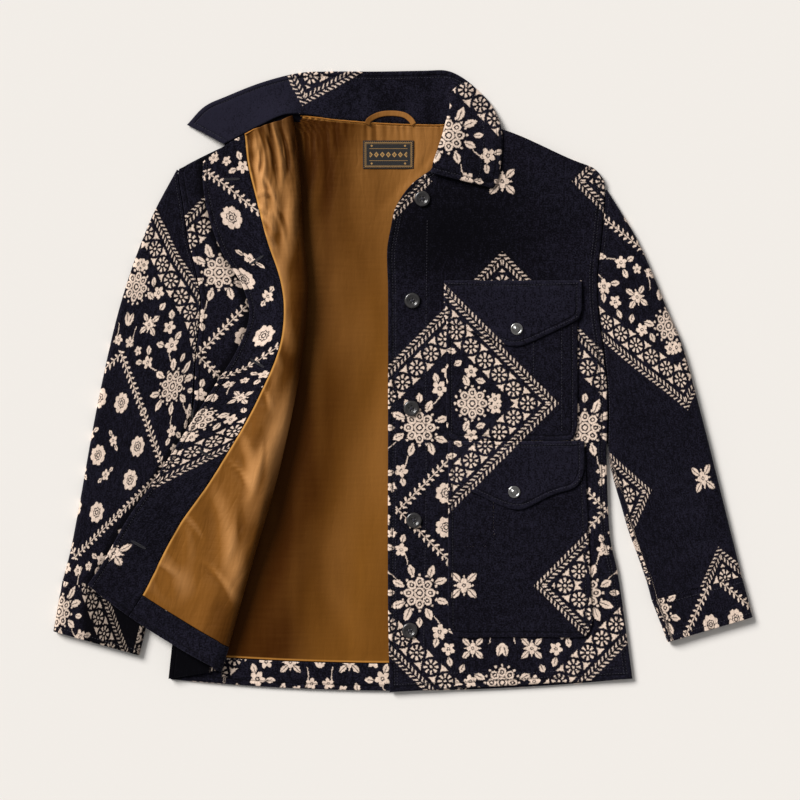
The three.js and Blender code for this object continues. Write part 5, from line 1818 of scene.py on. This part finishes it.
# What each piece stands for in the solids and its finish. A sheet adds its flat width and length, its flat
# area, how it lies, what it lies on and what is sewn to it.
dressing = (
    (back, "back", "wool", (0.58, 0.71), 0.335, "laid", [], []),
    (backLining, "back_lining", "satin", (0.54, 0.67), 0.303, "laid", [back],
     [hangerLoop, neckEdging, goldStitching]),
    (backHem, "back_hem", "wool", (0.54, 0.036), 0.017, "laid", [back], []),
    (leftFront, "left_front", "wool", (0.31, 0.69), 0.171, "laid", [back],
     [frontButtons, buttonThreads, flapSnaps, topStitching]),
    (chestPocket, "chest_pocket", "wool", (0.16, 0.18), 0.028, "laid", [leftFront], []),
    (chestFlap, "chest_flap", "wool", (0.168, 0.082), 0.011, "laid", [chestPocket], []),
    (lowerPocket, "lower_pocket", "wool", (0.176, 0.222), 0.0375, "laid", [leftFront], []),
    (lowerFlap, "lower_flap", "wool", (0.168, 0.084), 0.0113, "laid", [lowerPocket], []),
    (rightFront, "right_front", "wool", (0.31, 0.69), 0.150, "folded", [back], []),
    (facing, "right_front_facing", "wool", (0.080, 0.62), 0.033, "folded", [rightFront],
     [buttonholeSlits, buttonholeThreads]),
    (frontLining, "right_front_lining", "satin", (0.20, 0.65), 0.084, "folded", [rightFront], []),
    (frontHem, "right_front_hem", "wool", (0.19, 0.038), 0.0063, "folded", [rightFront], []),
    (leftSleeve, "left_sleeve", "wool", (0.36, 0.53), 0.094, "laid", [], []),
    (rightSleeve, "right_sleeve", "wool", (0.35, 0.51), 0.089, "laid", [], []),
    (leftCuff, "left_cuff", "wool", (0.235, 0.064), 0.0140, "laid", [], []),
    (rightCuff, "right_cuff", "wool", (0.23, 0.054), 0.0118, "laid", [], []),
    (collar, "collar", "wool", (0.47, 0.085), 0.0285, "folded", [leftFront, back], []),
    (hangerLoop, "hanger_loop", "satin"),
    (neckLabel, "neck_label", "label", (0.061, 0.034), None, "laid", [backLining], []),
    (frontButtons, "button_1 button_2 button_3 button_4 button_5", "button"),
    (flapSnaps, "snap_1 snap_2", "snap"), (buttonThreads, "", "wool"), (topStitching, "", "wool"),
    (goldStitching, "", "satin"), (buttonholeSlits, "", "wool"), (buttonholeThreads, "", "wool"),
    (neckEdging, "", "satin"),
)
for piece, nodes, finish, *_ in dressing:
    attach(piece, "root")
    if nodes:
        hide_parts(*nodes.split())
    print(piece.name, sum(len(p.vertices) - 2 for p in piece.data.polygons))
for piece, _, _, *sheet in dressing:
    if sheet:
        flat, area, held, under, sewnTo = sheet
        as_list(under)
        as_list(sewnTo)

# Camera straight above, floor and soft light
studio = {"lens": 135, "sensor": 36, "view": 0.96, "over": (-0.003588, -0.022836), "floorHalf": 6,
          "floorHeight": -0.0005, "floorColour": (0.90, 0.871, 0.839), "sunFrom": (-1.0, 0.9, 0.95),
          "sunPower": 3.9, "sunAngle": 26, "sunColour": (1.0, 0.985, 0.96),
          "skyColour": (1, 0.99, 0.98), "skyPower": 0.27}
camera = stand("camera", bpy.data.cameras.new("camera"))
bpy.context.scene.camera = camera
camera.data.lens = studio["lens"]
camera.location = (*studio["over"], studio["view"] * studio["lens"] / studio["sensor"])
camera.data.clip_end = 50

floorMesh = bpy.data.meshes.new("floor")
floorMesh.from_pydata([(x * studio["floorHalf"], y * studio["floorHalf"], 0)
                       for x, y in ((-1, -1), (1, -1), (1, 1), (-1, 1))], [], [(0, 1, 2, 3)])
floor = stand("floor", floorMesh)
paleFloor = Shading("paleFloor", onObject=True)
paleFloor.shader.inputs["Base Color"].default_value = (*studio["floorColour"], 1)
paleFloor.constants(roughness=0.95)
floorMesh.materials.append(paleFloor.material)
floor.location = (0, 0, studio["floorHeight"])

sun = bpy.data.lights.new("keyLight", "SUN")
sun.energy, sun.angle, sun.color = studio["sunPower"], math.radians(studio["sunAngle"]), studio["sunColour"]
lamp = stand("keyLight", sun)
lamp.rotation_euler = (-Vector(studio["sunFrom"])).to_track_quat("-Z", "Y").to_euler()
world = bpy.data.worlds.new("studio")
bpy.context.scene.world = world
world.use_nodes = True
sky = world.node_tree.nodes["Background"]
sky.inputs["Color"].default_value = (*studio["skyColour"], 1)
sky.inputs["Strength"].default_value = studio["skyPower"]
bpy.context.scene.view_settings.view_transform = "Standard"
